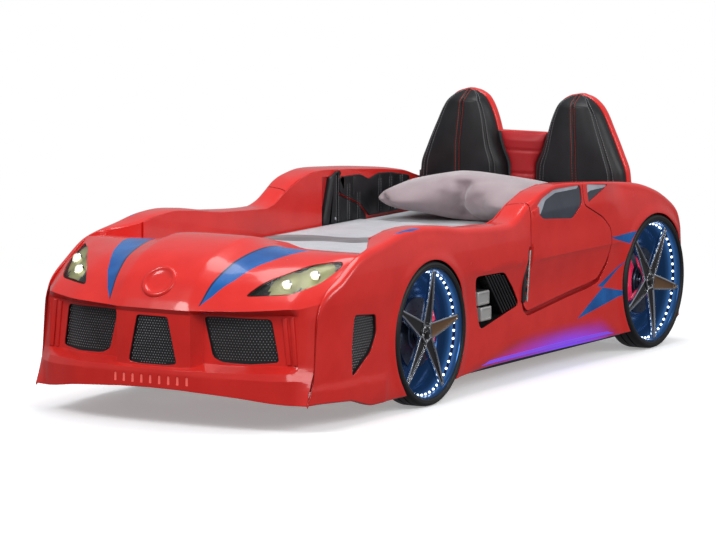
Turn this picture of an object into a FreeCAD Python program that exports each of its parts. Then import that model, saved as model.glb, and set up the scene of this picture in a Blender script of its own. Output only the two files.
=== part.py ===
import FreeCAD, Part
import math
import os

os.makedirs("parts", exist_ok=True)
V = FreeCAD.Vector

# ---------------------------------------------------------------- driving sizes, mm
# Lengths run along Y: the nose is at -Y, the headboard at +Y. X is across, Z is up.
FRONT_OVERHANG = 937.0      # nose to front axle
WHEELBASE = 1776.0
REAR_OVERHANG = 297.0       # rear axle to tail
TYRE_R = 258.0
TYRE_W = 100.0
TYRE_WALL = 27.0            # tyre's outside to the rim's
ARCH_GAP = 5.0              # tyre to the edge of the wheel arch

MATTRESS_W = 900.0
MATTRESS_L = 2000.0
MATTRESS_H = 170.0
MATTRESS_TOP = 478.0
BED_GAP = 12.0              # mattress to the inner walls
SIDE_DEPTH = 128.0          # inner wall to the widest point of the body
LINER_T = 5.0
BOARD_T = 18.0
SKIN = 4.0                  # wall of the moulded shells
FIT = 0.5                   # running gap between fixed pieces that face each other
SOFT_GAP = 1.0              # gap round the soft pieces

SILL_Z = 84.0               # lower edge of the side between the wheels
BELT_Z = 438.0              # the crease along the side
FENDER_Z = 641.0
DIP_Z = 588.0               # lowest point of the side's top edge, ahead of the door
ROOF_Z = 697.0
HOOD_Z = 628.0
HOOD_REAR_Z = 556.0
NOSE_Z = 412.0              # upper edge of the mouth at the nose
SEAT_TOP_Z = 958.0
BOARD_TOP_Z = 520.0
BOARD_BASE_Z = 52.0

HINGE_AFT = 758.0           # hinge foot behind the front axle, at belt height
HINGE_RAKE = 7.0            # degrees, top leaning to the tail
HINGE_R = 4.0
PIN_R = 1.6
PIN_FIT = 0.06
HINGE_LOW_Z = 292.0
HINGE_HIGH_Z = 478.0
DOOR_LEN = 656.0            # hinge to the door's rear edge
DOOR_TAIL = 207.0           # the door's roof ends this far ahead of its rear edge
DOOR_GAP = 3.0
DOOR_SILL_Z = 300.0
DOORWAY_BASE_Z = 325.0
DOORWAY_FORE = 284.0        # doorway's front edge behind the hinge
DOORWAY_MARGIN = 26.0       # doorway's rear edge to the door's
PAD_PROUD = 10.0            # how far the padded panels stand in from the walls
HINGE_SLOT = 7.0            # half width of the slot round the knuckles
WING_BACK = 24.0            # the wings turn in to the inner walls this far behind the hood
WING_FORE = 440.0           # the wings' inner faces start this far ahead of the axle
WING_BASE_Z = 530.0

SLAT_T = 18.0
SLAT_W = 70.0
SLAT_COUNT = 13
CLEAT_W = 30.0
CLEAT_H = 45.0
BEAM_X = 200.0              # the two long beams, from the centre line
BEAM_W = 40.0
BEAM_H = 60.0

RIM_W = 84.0
RIM_WALL = 7.0
SPOKES = 5
HUB_R = 40.0
BOLT_R = 6.0
BOLT_CIRCLE_R = 25.0
BOLT_COUNT = 5
DISC_R = 128.0
DISC_T = 7.0
LED_RING_W = 8.0

BULGE_X = 148.0             # half width of the raised middle of the hood
MOUTH_IN = 68.0             # the mouth's end, in from the hood's edge
LENS_T = 3.0
LAMP_R = 15.0
MESH_T = 3.0
LIP_SLOTS = 9
LIP_SLOT_PITCH = 36.0

SEAT_T = 84.0
SEAT_INSET = 207.0          # seat centre line in from the mattress's edge
BACK_SHELL_T = 44.0
PILLOW = (690.0, 450.0, 150.0)
PILLOW_TILT = 10.0
COVER = (884.0, 970.0, 22.0)
COVER_BACK = 506.0          # the cover's rear edge ahead of the headboard
POWER_BOX = (150.0, 36.0, 60.0)

# ---------------------------------------------------------------- places worked out from them
LENGTH = FRONT_OVERHANG + WHEELBASE + REAR_OVERHANG
NOSE_Y = -LENGTH / 2
AXLE_F = NOSE_Y + FRONT_OVERHANG
AXLE_R = AXLE_F + WHEELBASE
TAIL_Y = AXLE_R + REAR_OVERHANG
X_IN = MATTRESS_W / 2 + BED_GAP          # inner face of the liners
X_SHELL = X_IN + LINER_T                 # inner edge of the outer shells
X_BOARD = X_SHELL + BOARD_T              # outer face of the side boards
X_WIDE = X_IN + SIDE_DEPTH               # widest point of the body
X_TYRE = X_WIDE + 2.0                    # outer face of the tyres
X_HINGE = X_WIDE - 15.0                  # hinge line
X_LEAF = X_WIDE - 38.0                   # face that the hinge leaves are screwed to
REACH = X_WIDE + 30.0                    # outside everything on the side
X_HOOD = X_WIDE - 42.0                   # half width of the hood moulding
AXLE_Z = TYRE_R
RIM_R = TYRE_R - TYRE_WALL
ARCH_R = TYRE_R + ARCH_GAP
HEAD_Y = AXLE_R + 32.0                   # front face of the headboard
MAT_Y1 = HEAD_Y - SOFT_GAP - BED_GAP
MAT_Y0 = MAT_Y1 - MATTRESS_L
FRONT_BOARD_Y = MAT_Y0 - BED_GAP         # rear face of the front board
HOOD_BACK = FRONT_BOARD_Y - BOARD_T - FIT
MAT_BASE = MATTRESS_TOP - MATTRESS_H
SLAT_BASE = MAT_BASE - FIT - SLAT_T
HINGE_Y = AXLE_F + HINGE_AFT
HINGE_Z = (HINGE_LOW_Z + HINGE_HIGH_Z) / 2
RAKE = math.radians(HINGE_RAKE)
DOOR_END = HINGE_Y + DOOR_LEN
DOOR_ROOF = DOOR_LEN - DOOR_TAIL         # hinge to the rear edge of the door's roof
DOORWAY_Y0 = HINGE_Y + DOORWAY_FORE
DOORWAY_Y1 = DOOR_END - DOORWAY_MARGIN
SEAT_X = MATTRESS_W / 2 - SEAT_INSET     # centre line of each seat back
HINGE_AXIS = V(0, math.sin(RAKE), math.cos(RAKE))
HINGE_LEN = (HINGE_HIGH_Z - HINGE_LOW_Z) / math.cos(RAKE)
HINGE_FOOT = V(X_HINGE, HINGE_Y, HINGE_Z) - HINGE_AXIS * (HINGE_LEN / 2)

PARTS = {}


def keep(name, *shapes):
    """Store one node made of one or more separate solids."""
    solids = [s for shape in shapes for s in shape.Solids]
    PARTS[name] = solids[0] if len(solids) == 1 else Part.makeCompound(solids)


def mirrored(shape):
    return shape.mirror(V(0, 0, 0), V(1, 0, 0))


def keep_pair(name, *shapes):
    """Store a right-hand node (+X) and its mirror image."""
    keep(name + "_right", *shapes)
    keep(name + "_left", *[mirrored(s) for s in shapes])


def box(x0, x1, y0, y1, z0, z1):
    return Part.makeBox(x1 - x0, y1 - y0, z1 - z0, V(x0, y0, z0))


def cylinder_x(radius, x0, x1, y, z):
    return Part.makeCylinder(radius, x1 - x0, V(x0, y, z), V(1, 0, 0))


def side_prism(points, x0, x1, grow=0.0):
    """A prism across the side: an outline of (y, z) points, grown or shrunk."""
    corners = [V(x0, y, z) for y, z in points]
    face = Part.Face(Part.makePolygon(corners + corners[:1]))
    if grow:
        face = face.makeOffset2D(grow)
    return face.extrude(V(x1 - x0, 0, 0))


def front_prism(points, y0, y1, grow=0.0):
    """A prism along Y: an outline of (x, z) points."""
    corners = [V(x, y0, z) for x, z in points]
    face = Part.Face(Part.makePolygon(corners + corners[:1]))
    if grow:
        face = face.makeOffset2D(grow)
    return face.extrude(V(0, y1 - y0, 0))


def plan_prism(points, z0, z1):
    """An upright prism: an outline of (x, y) points."""
    corners = [V(x, y, z0) for x, y in points]
    return Part.Face(Part.makePolygon(corners + corners[:1])).extrude(V(0, 0, z1 - z0))


def spline(points):
    curve = Part.BSplineCurve()
    curve.interpolate(points)
    return curve.toShape()


def biggest(shape):
    return max(shape.Solids, key=lambda solid: solid.Volume)


def hinge_line(z):
    """Y of the hinge line at a height."""
    return HINGE_Y + (z - HINGE_Z) * math.tan(RAKE)


def along_hinge(fore, aft, low, high, x0, x1):
    """A strip across the side that leans with the hinge line."""
    return side_prism([(hinge_line(low) + fore, low), (hinge_line(low) + aft, low),
                       (hinge_line(high) + aft, high), (hinge_line(high) + fore, high)], x0, x1)


# ---------------------------------------------------------------- the body's side surface
def plan_line():
    """Stations along the side: y, how far in from the widest point, and how much
    of the sculpted waist is felt there."""
    return [
        (NOSE_Y + 90, 66, 0.0),
        (NOSE_Y + 190, 36, 0.0),
        (NOSE_Y + 345, 12, 0.0),
        (AXLE_F - 320, 2, 0.0),
        (AXLE_F, 0, 0.0),
        (AXLE_F + 320, 5, 0.5),
        (HINGE_Y, 10, 1.0),
        (HINGE_Y + DOOR_LEN / 2, 12, 1.0),
        (DOOR_END, 5, 0.5),
        (AXLE_R, 0, 0.0),
        (AXLE_R + 200, 8, 0.0),
        (TAIL_Y + 30, 34, 0.0),
    ]


def section_levels():
    """Levels up the side: z, how far in everywhere, extra at the waist."""
    return [
        (30, 16, 0),
        (SILL_Z + 8, 6, 0),
        (SILL_Z + 110, 6, 6),
        (BELT_Z - 110, 6, 14),
        (BELT_Z, 0, 0),
        (BELT_Z + 80, 4, 2),
        (DIP_Z + 10, 18, 0),
        (FENDER_Z, 34, 0),
        (ROOF_Z + 20, 58, 0),
    ]


def body_volume(inset, inner=X_SHELL - 60):
    """Everything inside the side surface, taken in by inset."""
    wires = []
    for z, level_in, waist in section_levels():
        outer = [V(X_WIDE - inset - plan_in - level_in - waist * share, y, z)
                 for y, plan_in, share in plan_line()]
        first, last = outer[0], outer[-1]
        a, b = V(inner, first.y, z), V(inner, last.y, z)
        wires.append(Part.Wire([
            spline(outer), Part.makeLine(last, b), Part.makeLine(b, a), Part.makeLine(a, first)]))
    return Part.makeLoft(wires, True, True)


def side_outline(inset=0.0, base=None):
    """Silhouette of one side in (y, z): the joint with the front moulding, the
    wings, the door's roof and the tail, taken in by inset on top and ends."""
    top = [
        (NOSE_Y + 128, 98), (NOSE_Y + 169, 186), (NOSE_Y + 195, 397), (NOSE_Y + 229, 455),
        (NOSE_Y + 340, 518), (NOSE_Y + 474, 583), (AXLE_F - 270, FENDER_Z - 26),
        (AXLE_F - 130, FENDER_Z - 4), (AXLE_F - 40, FENDER_Z),
        (AXLE_F + 120, FENDER_Z - 12), (AXLE_F + 300, DIP_Z + 18), (HINGE_Y - 130, DIP_Z),
        (HINGE_Y - 70, DIP_Z + 12), (HINGE_Y + 25, ROOF_Z - 52),
        (HINGE_Y + 140, ROOF_Z - 15), (HINGE_Y + 262, ROOF_Z), (HINGE_Y + 480, ROOF_Z - 12),
        (DOOR_END + 70, ROOF_Z - 32), (AXLE_R - 90, ROOF_Z - 55), (AXLE_R + 40, ROOF_Z - 88),
        (AXLE_R + 152, ROOF_Z - 136), (AXLE_R + 215, ROOF_Z - 178),
        (TAIL_Y - 40, ROOF_Z - 284), (TAIL_Y, 156),
    ]
    count = len(top)
    edge = []
    for i, (y, z) in enumerate(top):
        back, ahead = top[max(i - 1, 0)], top[min(i + 1, count - 1)]
        dy, dz = ahead[0] - back[0], ahead[1] - back[1]
        size = math.hypot(dy, dz)
        edge.append((y + inset * dz / size, z - inset * dy / size))
    if base is not None:
        return [(edge[0][0], base)] + edge + [(edge[-1][0], base)]
    sill = [
        (AXLE_R + 120, 92), (AXLE_R - 100, SILL_Z + 4), (AXLE_R - 420, SILL_Z - 4),
        (AXLE_F + 560, SILL_Z), (AXLE_F + 300, SILL_Z - 6), (AXLE_F, 60),
        (AXLE_F - 395, 54), (NOSE_Y + 369, 88),
    ]
    return edge + sill


def door_outline():
    """The door's edge in (y, z): it runs up the raked hinge line and over the roof."""
    over = ROOF_Z + 60
    roof_end = HINGE_Y + DOOR_ROOF + 30
    return [
        (hinge_line(over), over), (roof_end, over), (roof_end, ROOF_Z - 100),
        (DOOR_END - 60, BELT_Z + 106), (DOOR_END - 4, BELT_Z + 60), (DOOR_END, BELT_Z - 4),
        (DOOR_END - 22, BELT_Z - 66), (DOOR_END - 84, DOOR_SILL_Z + 14),
        (DOOR_END - 170, DOOR_SILL_Z), (HINGE_Y + 12, DOOR_SILL_Z - 50),
        (hinge_line(HINGE_LOW_Z), HINGE_LOW_Z - 18),
    ]


def door_zone(grow):
    """The space that the door fills. The back of its roof is turned about the
    hinge line, so that the roof swings clear of the body."""
    zone = side_prism(door_outline(), X_SHELL - 5, REACH, grow)
    roof_r = DOOR_ROOF * math.cos(RAKE) - (ROOF_Z - HINGE_Z) * math.sin(RAKE)
    turned = Part.makeCylinder(roof_r + grow, LENGTH, HINGE_FOOT - HINGE_AXIS * 200, HINGE_AXIS)
    band = box(X_SHELL - 10, REACH + 5, HINGE_Y + 200, DOOR_END + 80, ROOF_Z - 112, ROOF_Z + 90)
    return zone.cut(band.cut(turned))


def doorway_outline():
    """The way through the inner wall, closed at the top by the door's roof. Its rear
    edge stays far enough inside the door's outline for the thick core to swing out."""
    roof_end = DOORWAY_Y0 + 128
    return [
        (DOORWAY_Y0, DOORWAY_BASE_Z), (DOORWAY_Y1 - 72, DOORWAY_BASE_Z),
        (DOORWAY_Y1 - 20, DOORWAY_BASE_Z + 46), (DOORWAY_Y1, BELT_Z - 8),
        (DOORWAY_Y1 - 6, BELT_Z + 58), (DOORWAY_Y1 - 62, BELT_Z + 100),
        (roof_end, ROOF_Z - 106), (roof_end, ROOF_Z + 60), (DOORWAY_Y0, ROOF_Z + 60),
    ]


def window_outline():
    roof_end = HINGE_Y + DOOR_ROOF - 22
    return [
        (HINGE_Y + 60, ROOF_Z - 74), (HINGE_Y + 116, ROOF_Z - 40), (HINGE_Y + 220, ROOF_Z - 18),
        (roof_end, ROOF_Z - 20), (roof_end, ROOF_Z - 86), (roof_end - 75, BELT_Z + 124),
        (HINGE_Y + 112, BELT_Z + 148),
    ]


def quarter_outline():
    front = HINGE_Y + DOOR_ROOF + 30
    return [
        (front, ROOF_Z - 22), (DOOR_END - 20, ROOF_Z - 36), (DOOR_END - 90, ROOF_Z - 58),
        (front, ROOF_Z - 84),
    ]


def vent_outline():
    front = NOSE_Y + 395
    return [
        (front + 10, 384), (front + 150, 372), (front + 158, 310), (front + 120, 244),
        (front, 168), (front - 4, 270),
    ]


def scoop_outline():
    front = AXLE_F + 347
    return [
        (front, 402), (front + 4, 424), (front + 228, 418), (front + 322, 343),
        (front + 366, 284), (front + 40, 226),
    ]


OUTER = body_volume(0)
INNER = body_volume(SKIN)
BACKED = body_volume(SKIN + 0.3)


def inlay(outline, grow, thick):
    """A plate that lies against the inside of the side skin."""
    prism = side_prism(outline, X_SHELL + 30, REACH, grow)
    return biggest(BACKED.common(prism).cut(body_volume(SKIN + 0.3 + thick)))


# ---------------------------------------------------------------- sides and doors
def make_sides():
    full = side_prism(side_outline(), X_SHELL + FIT, REACH).common(OUTER)
    hollow = side_prism(side_outline(SKIN, base=-50), X_SHELL - 40, REACH).common(INNER)
    whole = full.cut(hollow)
    slot = along_hinge(-HINGE_SLOT, HINGE_SLOT, HINGE_LOW_Z - 3, HINGE_HIGH_Z + 3, X_LEAF, REACH)
    door = whole.common(door_zone(-DOOR_GAP / 2)).cut(slot)
    door = door.cut(side_prism(window_outline(), X_SHELL + 30, REACH))
    shell = whole.cut(door_zone(DOOR_GAP / 2)).cut(slot)
    step = HOOD_BACK + WING_BACK
    shell = shell.cut(box(0, X_HOOD + FIT, NOSE_Y - 50, step, -10, ROOF_Z + 80))
    wing = box(X_HOOD + FIT, X_HOOD + FIT + SKIN, AXLE_F - WING_FORE, step, WING_BASE_Z, ROOF_Z)
    wing = wing.fuse(box(X_SHELL + FIT, X_HOOD + FIT + SKIN, step, step + SKIN, WING_BASE_Z,
                         ROOF_Z))
    shell = shell.fuse(wing.common(full))
    for axle in (AXLE_F, AXLE_R):
        shell = shell.cut(cylinder_x(ARCH_R, X_SHELL - 5, REACH, axle, AXLE_Z))
    for outline in (quarter_outline(), vent_outline(), scoop_outline()):
        shell = shell.cut(side_prism(outline, X_SHELL + 20, REACH))
    keep_pair("side_shell", biggest(shell))
    keep_pair("door_skin", biggest(door))
    keep_pair("door_window", inlay(window_outline(), 6, MESH_T))
    pane = inlay(quarter_outline(), 6, MESH_T)
    keep("quarter_windows", pane, mirrored(pane))
    mesh = inlay(vent_outline(), 8, MESH_T)
    keep("corner_vents", mesh, mirrored(mesh))
    low, high = SILL_Z + 10, SILL_Z + 22
    strip = inlay([(AXLE_F + 300, low), (AXLE_R - 300, low), (AXLE_R - 300, high),
                   (AXLE_F + 300, high)], 0, 6)
    keep("sill_lights", strip, mirrored(strip))


def make_scoops():
    """A black ribbed tray behind each side opening, and the two silver pipes."""
    back = X_BOARD + 12
    tray = side_prism(scoop_outline(), back, REACH, 9).common(BACKED)
    tray = tray.cut(side_prism(scoop_outline(), back + 4, REACH, 4))
    inside = side_prism(scoop_outline(), back, REACH, 4.5)
    front = AXLE_F + 347
    for i in range(8):
        y = front + 126 + i * 26
        rib = side_prism([(y, 410), (y + 9, 410), (y + 79, 240), (y + 70, 240)],
                         back + 3, back + 16)
        tray = tray.fuse(rib.common(inside))
    keep_pair("scoop_tray", biggest(tray.removeSplitter()))
    pipes = []
    for y, z, long in ((front + 22, 340, 88), (front + 46, 281, 80)):
        tube = box(back + 4 + FIT, X_WIDE - 14, y, y + long, z - 26, z + 26)
        tube = tube.makeFillet(5, [e for e in tube.Edges if abs(e.tangentAt(0).x) > 0.9])
        bore = box(back + 14, X_WIDE, y + 5, y + long - 5, z - 21, z + 21)
        pipes.append(tube.cut(bore))
    keep_pair("twin_pipes", *pipes)


def make_hinges():
    """Piano hinges: alternate knuckles on the body's leaf and the door's leaf."""
    count = 7
    step = HINGE_LEN / count
    bore = Part.makeCylinder(PIN_R + PIN_FIT, HINGE_LEN + 2, HINGE_FOOT - HINGE_AXIS, HINGE_AXIS)
    pin = Part.makeCylinder(PIN_R, HINGE_LEN - 1, HINGE_FOOT + HINGE_AXIS * 0.5, HINGE_AXIS)
    leaf_x = X_LEAF + 0.2
    low, high = HINGE_LOW_Z + 2, HINGE_HIGH_Z - 2
    leaves = []
    for side, first in ((-1, 0), (1, 1)):
        near, far = sorted((3.2 * side, 22.0 * side))
        leaf = along_hinge(near, far, low, high, leaf_x, leaf_x + 1.4)
        for i in range(first, count, 2):
            foot = HINGE_FOOT + HINGE_AXIS * (i * step + 0.4)
            knuckle = Part.makeCylinder(HINGE_R, step - 0.8, foot, HINGE_AXIS)
            near, far = sorted((2.6 * side, 5.4 * side))
            mid = foot.z + step * 0.5
            web = along_hinge(near, far, mid - step * 0.36, mid + step * 0.36, leaf_x, X_HINGE)
            leaf = leaf.fuse(web).fuse(knuckle)
        leaves.append(biggest(leaf.cut(bore)))
    keep("hinge_leaves_fixed", leaves[0], mirrored(leaves[0]))
    keep_pair("hinge_leaf_door", leaves[1])
    keep("hinge_pins", pin, mirrored(pin))
    post = along_hinge(-40, -12, HINGE_Z - 42, HINGE_HIGH_Z + 12, X_BOARD + 0.3, X_LEAF)
    keep("hinge_posts", post, mirrored(post))


def make_door_inside():
    """The door's foam-filled core, and the padded panel on its inner face."""
    behind = door_zone(-DOOR_GAP / 2 - 5).common(BACKED)
    body = behind.common(box(X_BOARD + 4, REACH, 0, LENGTH, 0, ROOF_Z - 24))
    under = side_prism(side_outline(SKIN + 1.0, base=0), X_SHELL, REACH)
    body = body.common(under)
    inner = side_prism(doorway_outline(), X_SHELL + 7, X_BOARD + 5, -4).common(under)
    core = body.fuse(inner)
    pocket = along_hinge(-30, 48, HINGE_LOW_Z - 8, HINGE_HIGH_Z + 8, X_LEAF, REACH)
    ahead = along_hinge(-200, 9, 0, ROOF_Z + 50, X_SHELL, REACH)
    swing = Part.makeCylinder(DOOR_LEN * math.cos(RAKE) - 6, LENGTH,
                              HINGE_FOOT - HINGE_AXIS * 400, HINGE_AXIS)
    heel = box(X_SHELL, REACH, HINGE_Y - 60, HINGE_Y + 180, 0, DOOR_SILL_Z - 24)
    core = core.cut(pocket).cut(ahead).cut(heel).common(swing)
    core = core.cut(side_prism(window_outline(), X_WIDE - 72, REACH, 9))
    keep_pair("door_core", biggest(core))
    pad = side_prism(doorway_outline(), X_IN - PAD_PROUD, X_SHELL + 6.7, -5)
    pad = pad.common(side_prism(side_outline(SKIN + 6, base=0), X_SHELL - 60, REACH))
    face_edges = [e for e in pad.Edges
                  if all(abs(v.X - (X_IN - PAD_PROUD)) < 0.01 for v in e.Vertexes)]
    keep_pair("door_pad", pad.makeFillet(6, face_edges))


def make_walls():
    """Liners, boards and the padded panels behind the doors."""
    y0, y1 = FRONT_BOARD_Y - BOARD_T, HEAD_Y + BOARD_T
    way = side_prism(doorway_outline(), X_IN - 10, REACH)
    top = side_prism(side_outline(6, base=0), X_IN - 5, REACH)
    liner = box(X_IN, X_SHELL, y0, y1, BOARD_BASE_Z, ROOF_Z + 50).common(top).cut(way)
    keep_pair("side_liner", biggest(liner))
    board = box(X_SHELL, X_BOARD, y0, y1, BOARD_BASE_Z, BOARD_TOP_Z).cut(way)
    keep_pair("side_board", biggest(board))
    pad = box(X_IN - PAD_PROUD, X_IN - 0.3, DOORWAY_Y1 + 6, HEAD_Y - SEAT_T - 6,
              MATTRESS_TOP + 4, ROOF_Z).common(
        side_prism(side_outline(26, base=0), X_SHELL - 60, REACH))
    face_edges = [e for e in pad.Edges
                  if all(abs(v.X - (X_IN - PAD_PROUD)) < 0.01 for v in e.Vertexes)]
    keep_pair("rear_pad", pad.makeFillet(5, face_edges))


# ---------------------------------------------------------------- front moulding and lights
def front_stations():
    """Profiles of the front moulding, from the hood's rear edge over the nose and
    down to the lip, as (distance behind the nose, z), at distances from the middle."""
    rear = HOOD_BACK - NOSE_Y
    lift = HOOD_REAR_Z
    return [
        (0, [(rear, lift + 28), (415, HOOD_Z), (205, 592), (85, 522), (18, 445), (0, NOSE_Z),
             (12, 396), (14, 212), (2, 204), (0, 190), (0, 139)]),
        (104, [(rear, lift + 26), (415, HOOD_Z - 1), (205, 590), (86, 521), (20, 445), (2, NOSE_Z),
               (14, 396), (16, 212), (4, 204), (2, 190), (2, 137)]),
        (BULGE_X, [(rear, lift + 22), (415, HOOD_Z - 3), (205, 587), (88, 519), (24, 445),
                   (5, NOSE_Z), (20, 397), (24, 214), (8, 204), (5, 190), (5, 135)]),
        (BULGE_X + 22, [(rear, lift + 8), (415, HOOD_Z - 20), (212, 572), (100, 508), (40, 442),
                        (16, NOSE_Z + 1), (70, 396), (70, 226), (12, 206), (8, 190), (8, 133)]),
        (250, [(rear, lift), (425, HOOD_Z - 32), (228, 562), (125, 506), (62, 448),
               (30, NOSE_Z + 3), (80, 396), (78, 224), (22, 206), (18, 188), (18, 128)]),
        (340, [(rear, lift), (440, HOOD_Z - 38), (258, 560), (160, 512), (88, 453),
               (50, NOSE_Z + 6), (96, 397), (92, 226), (42, 206), (36, 186), (36, 120)]),
        (430, [(rear, lift), (462, HOOD_Z - 42), (305, 558), (212, 511), (130, 455),
               (92, NOSE_Z + 11), (134, 400), (132, 228), (82, 206), (74, 182), (74, 106)]),
        (X_HOOD - MOUTH_IN, [(rear, lift), (470, HOOD_Z - 43), (330, 556), (240, 508), (155, 455),
                             (120, NOSE_Z + 15), (148, 402), (146, 228), (110, 206), (100, 182),
                             (100, 100)]),
        (X_HOOD - MOUTH_IN + 24, [(rear, lift), (472, HOOD_Z - 44), (345, 552), (262, 505),
                                  (180, 452), (148, NOSE_Z + 14), (150, 400), (144, 228),
                                  (136, 206), (120, 182), (116, 98)]),
        (X_HOOD, [(rear, lift), (474, HOOD_Z - 46), (400, 545), (335, 514), (262, 470),
                  (225, 441), (205, 395), (178, 228), (172, 206), (160, 180), (128, 98)]),
    ]


def front_profile(points, inset):
    """Close one profile: at its own size, or taken in and left open behind and below."""
    if not inset:
        base = points[-1][1]
        return points + [(points[0][0], base)]
    taken = []
    last = len(points) - 1
    for i, (d, z) in enumerate(points):
        back, ahead = points[max(i - 1, 0)], points[min(i + 1, last)]
        dd, dz = ahead[0] - back[0], ahead[1] - back[1]
        size = math.hypot(dd, dz)
        taken.append((d - inset * dz / size, z + inset * dd / size))
    taken[-1] = (taken[-1][0], -60)
    return [(taken[0][0] + 60, taken[0][1])] + taken + [(taken[0][0] + 60, -60)]


def front_volume(inset):
    stations = front_stations()
    both = [(-x, p) for x, p in reversed(stations[1:])] + stations
    wires = []
    for x, points in both:
        loop = [V(x, NOSE_Y + d, z) for d, z in front_profile(points, inset)]
        wires.append(Part.makePolygon(loop + loop[:1]))
    return Part.makeLoft(wires, True, True)


def hood_y(x, z):
    """Y of the front moulding's sloping face at a place seen from the front."""
    def at(points):
        for (d0, z0), (d1, z1) in zip(points[1:5], points[2:6]):
            if z1 <= z <= z0:
                return d0 + (d1 - d0) * (z0 - z) / (z0 - z1)
        return points[5][0]

    stations = front_stations()
    for (x0, p0), (x1, p1) in zip(stations, stations[1:]):
        if x0 <= abs(x) <= x1:
            share = (abs(x) - x0) / (x1 - x0)
            return NOSE_Y + at(p0) * (1 - share) + at(p1) * share
    raise ValueError("x is outside the hood")


def headlight_outline():
    return [
        (X_HOOD - 230, 463), (X_HOOD - 86, 471), (X_HOOD - 30, 503), (X_HOOD - 11, 548),
        (X_HOOD - 22, 568), (X_HOOD - 92, 560), (X_HOOD - 189, 509),
    ]


def grille_outline():
    inner = BULGE_X + 26
    outer = X_HOOD - 112
    return [
        (inner, 388), (inner + 60, 391), (outer - 26, 388), (outer, 240), (outer - 90, 232),
        (inner + 70, 234), (inner + 34, 250),
    ]


def centre_outline():
    return [(-62, 386), (62, 386), (97, 224), (60, 218), (-60, 218), (-97, 224)]


def make_front():
    outer, inner = front_volume(0), front_volume(SKIN)
    backed = front_volume(SKIN + 0.3)
    lamp_depth = NOSE_Y + 470
    lamp_opening = front_prism(headlight_outline(), NOSE_Y - 10, lamp_depth)
    grille = front_prism(grille_outline(), NOSE_Y - 10, NOSE_Y + 240)
    middle = front_prism(centre_outline(), NOSE_Y - 10, NOSE_Y + 60)
    shell = outer.cut(inner)
    cutters = [lamp_opening, mirrored(lamp_opening), grille, mirrored(grille), middle]
    for i in range(LIP_SLOTS):
        x = (i - (LIP_SLOTS - 1) / 2) * LIP_SLOT_PITCH
        cutters.append(box(x - 6, x + 6, NOSE_Y - 10, NOSE_Y + 40, 152, 184))
    for cutter in cutters:
        shell = shell.cut(cutter)
    keep("front_moulding", biggest(shell))

    deep = front_volume(SKIN + 0.3 + MESH_T)
    right = biggest(backed.common(front_prism(grille_outline(), NOSE_Y, NOSE_Y + 240, 7)).cut(deep))
    keep("grille_right", right)
    keep("grille_left", mirrored(right))
    keep("grille_centre", biggest(
        backed.common(front_prism(centre_outline(), NOSE_Y, NOSE_Y + 60, 6)).cut(deep)))

    inside = front_prism(headlight_outline(), NOSE_Y, lamp_depth, -0.6)
    lens = biggest(front_volume(0.5).common(inside).cut(front_volume(0.5 + LENS_T)))
    keep("headlight_lenses", lens, mirrored(lens))
    band = plan_prism([(X_HOOD - 300, NOSE_Y + 70), (X_HOOD + 20, NOSE_Y + 360),
                       (X_HOOD + 20, NOSE_Y + 462), (X_HOOD - 300, NOSE_Y + 190)], 400, 640)
    hole = plan_prism([(X_HOOD - 300, NOSE_Y), (X_HOOD + 20, NOSE_Y + 290),
                       (X_HOOD + 20, NOSE_Y + 456), (X_HOOD - 300, NOSE_Y + 184)], 390, 650)
    tray = backed.common(front_prism(headlight_outline(), NOSE_Y, lamp_depth, 5)).common(band)
    cavity = front_prism(headlight_outline(), NOSE_Y - 5, lamp_depth + 5, 0).common(hole)
    tray = biggest(tray.cut(cavity))
    keep("headlight_trays", tray, mirrored(tray))
    lamps = []
    for x, z in ((X_HOOD - 128, 496), (X_HOOD - 66, 523)):
        y = hood_y(x, z) + 50
        bulb = Part.makeSphere(LAMP_R, V(x, y, z))
        stem = Part.makeCylinder(9, 200, V(x, y, z), V(0, 1, 0))
        lamp = bulb.fuse(stem.common(cavity.common(backed)))
        lamps.append(biggest(lamp))
    keep("headlight_lamps", *lamps, *[mirrored(lamp) for lamp in lamps])


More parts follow.
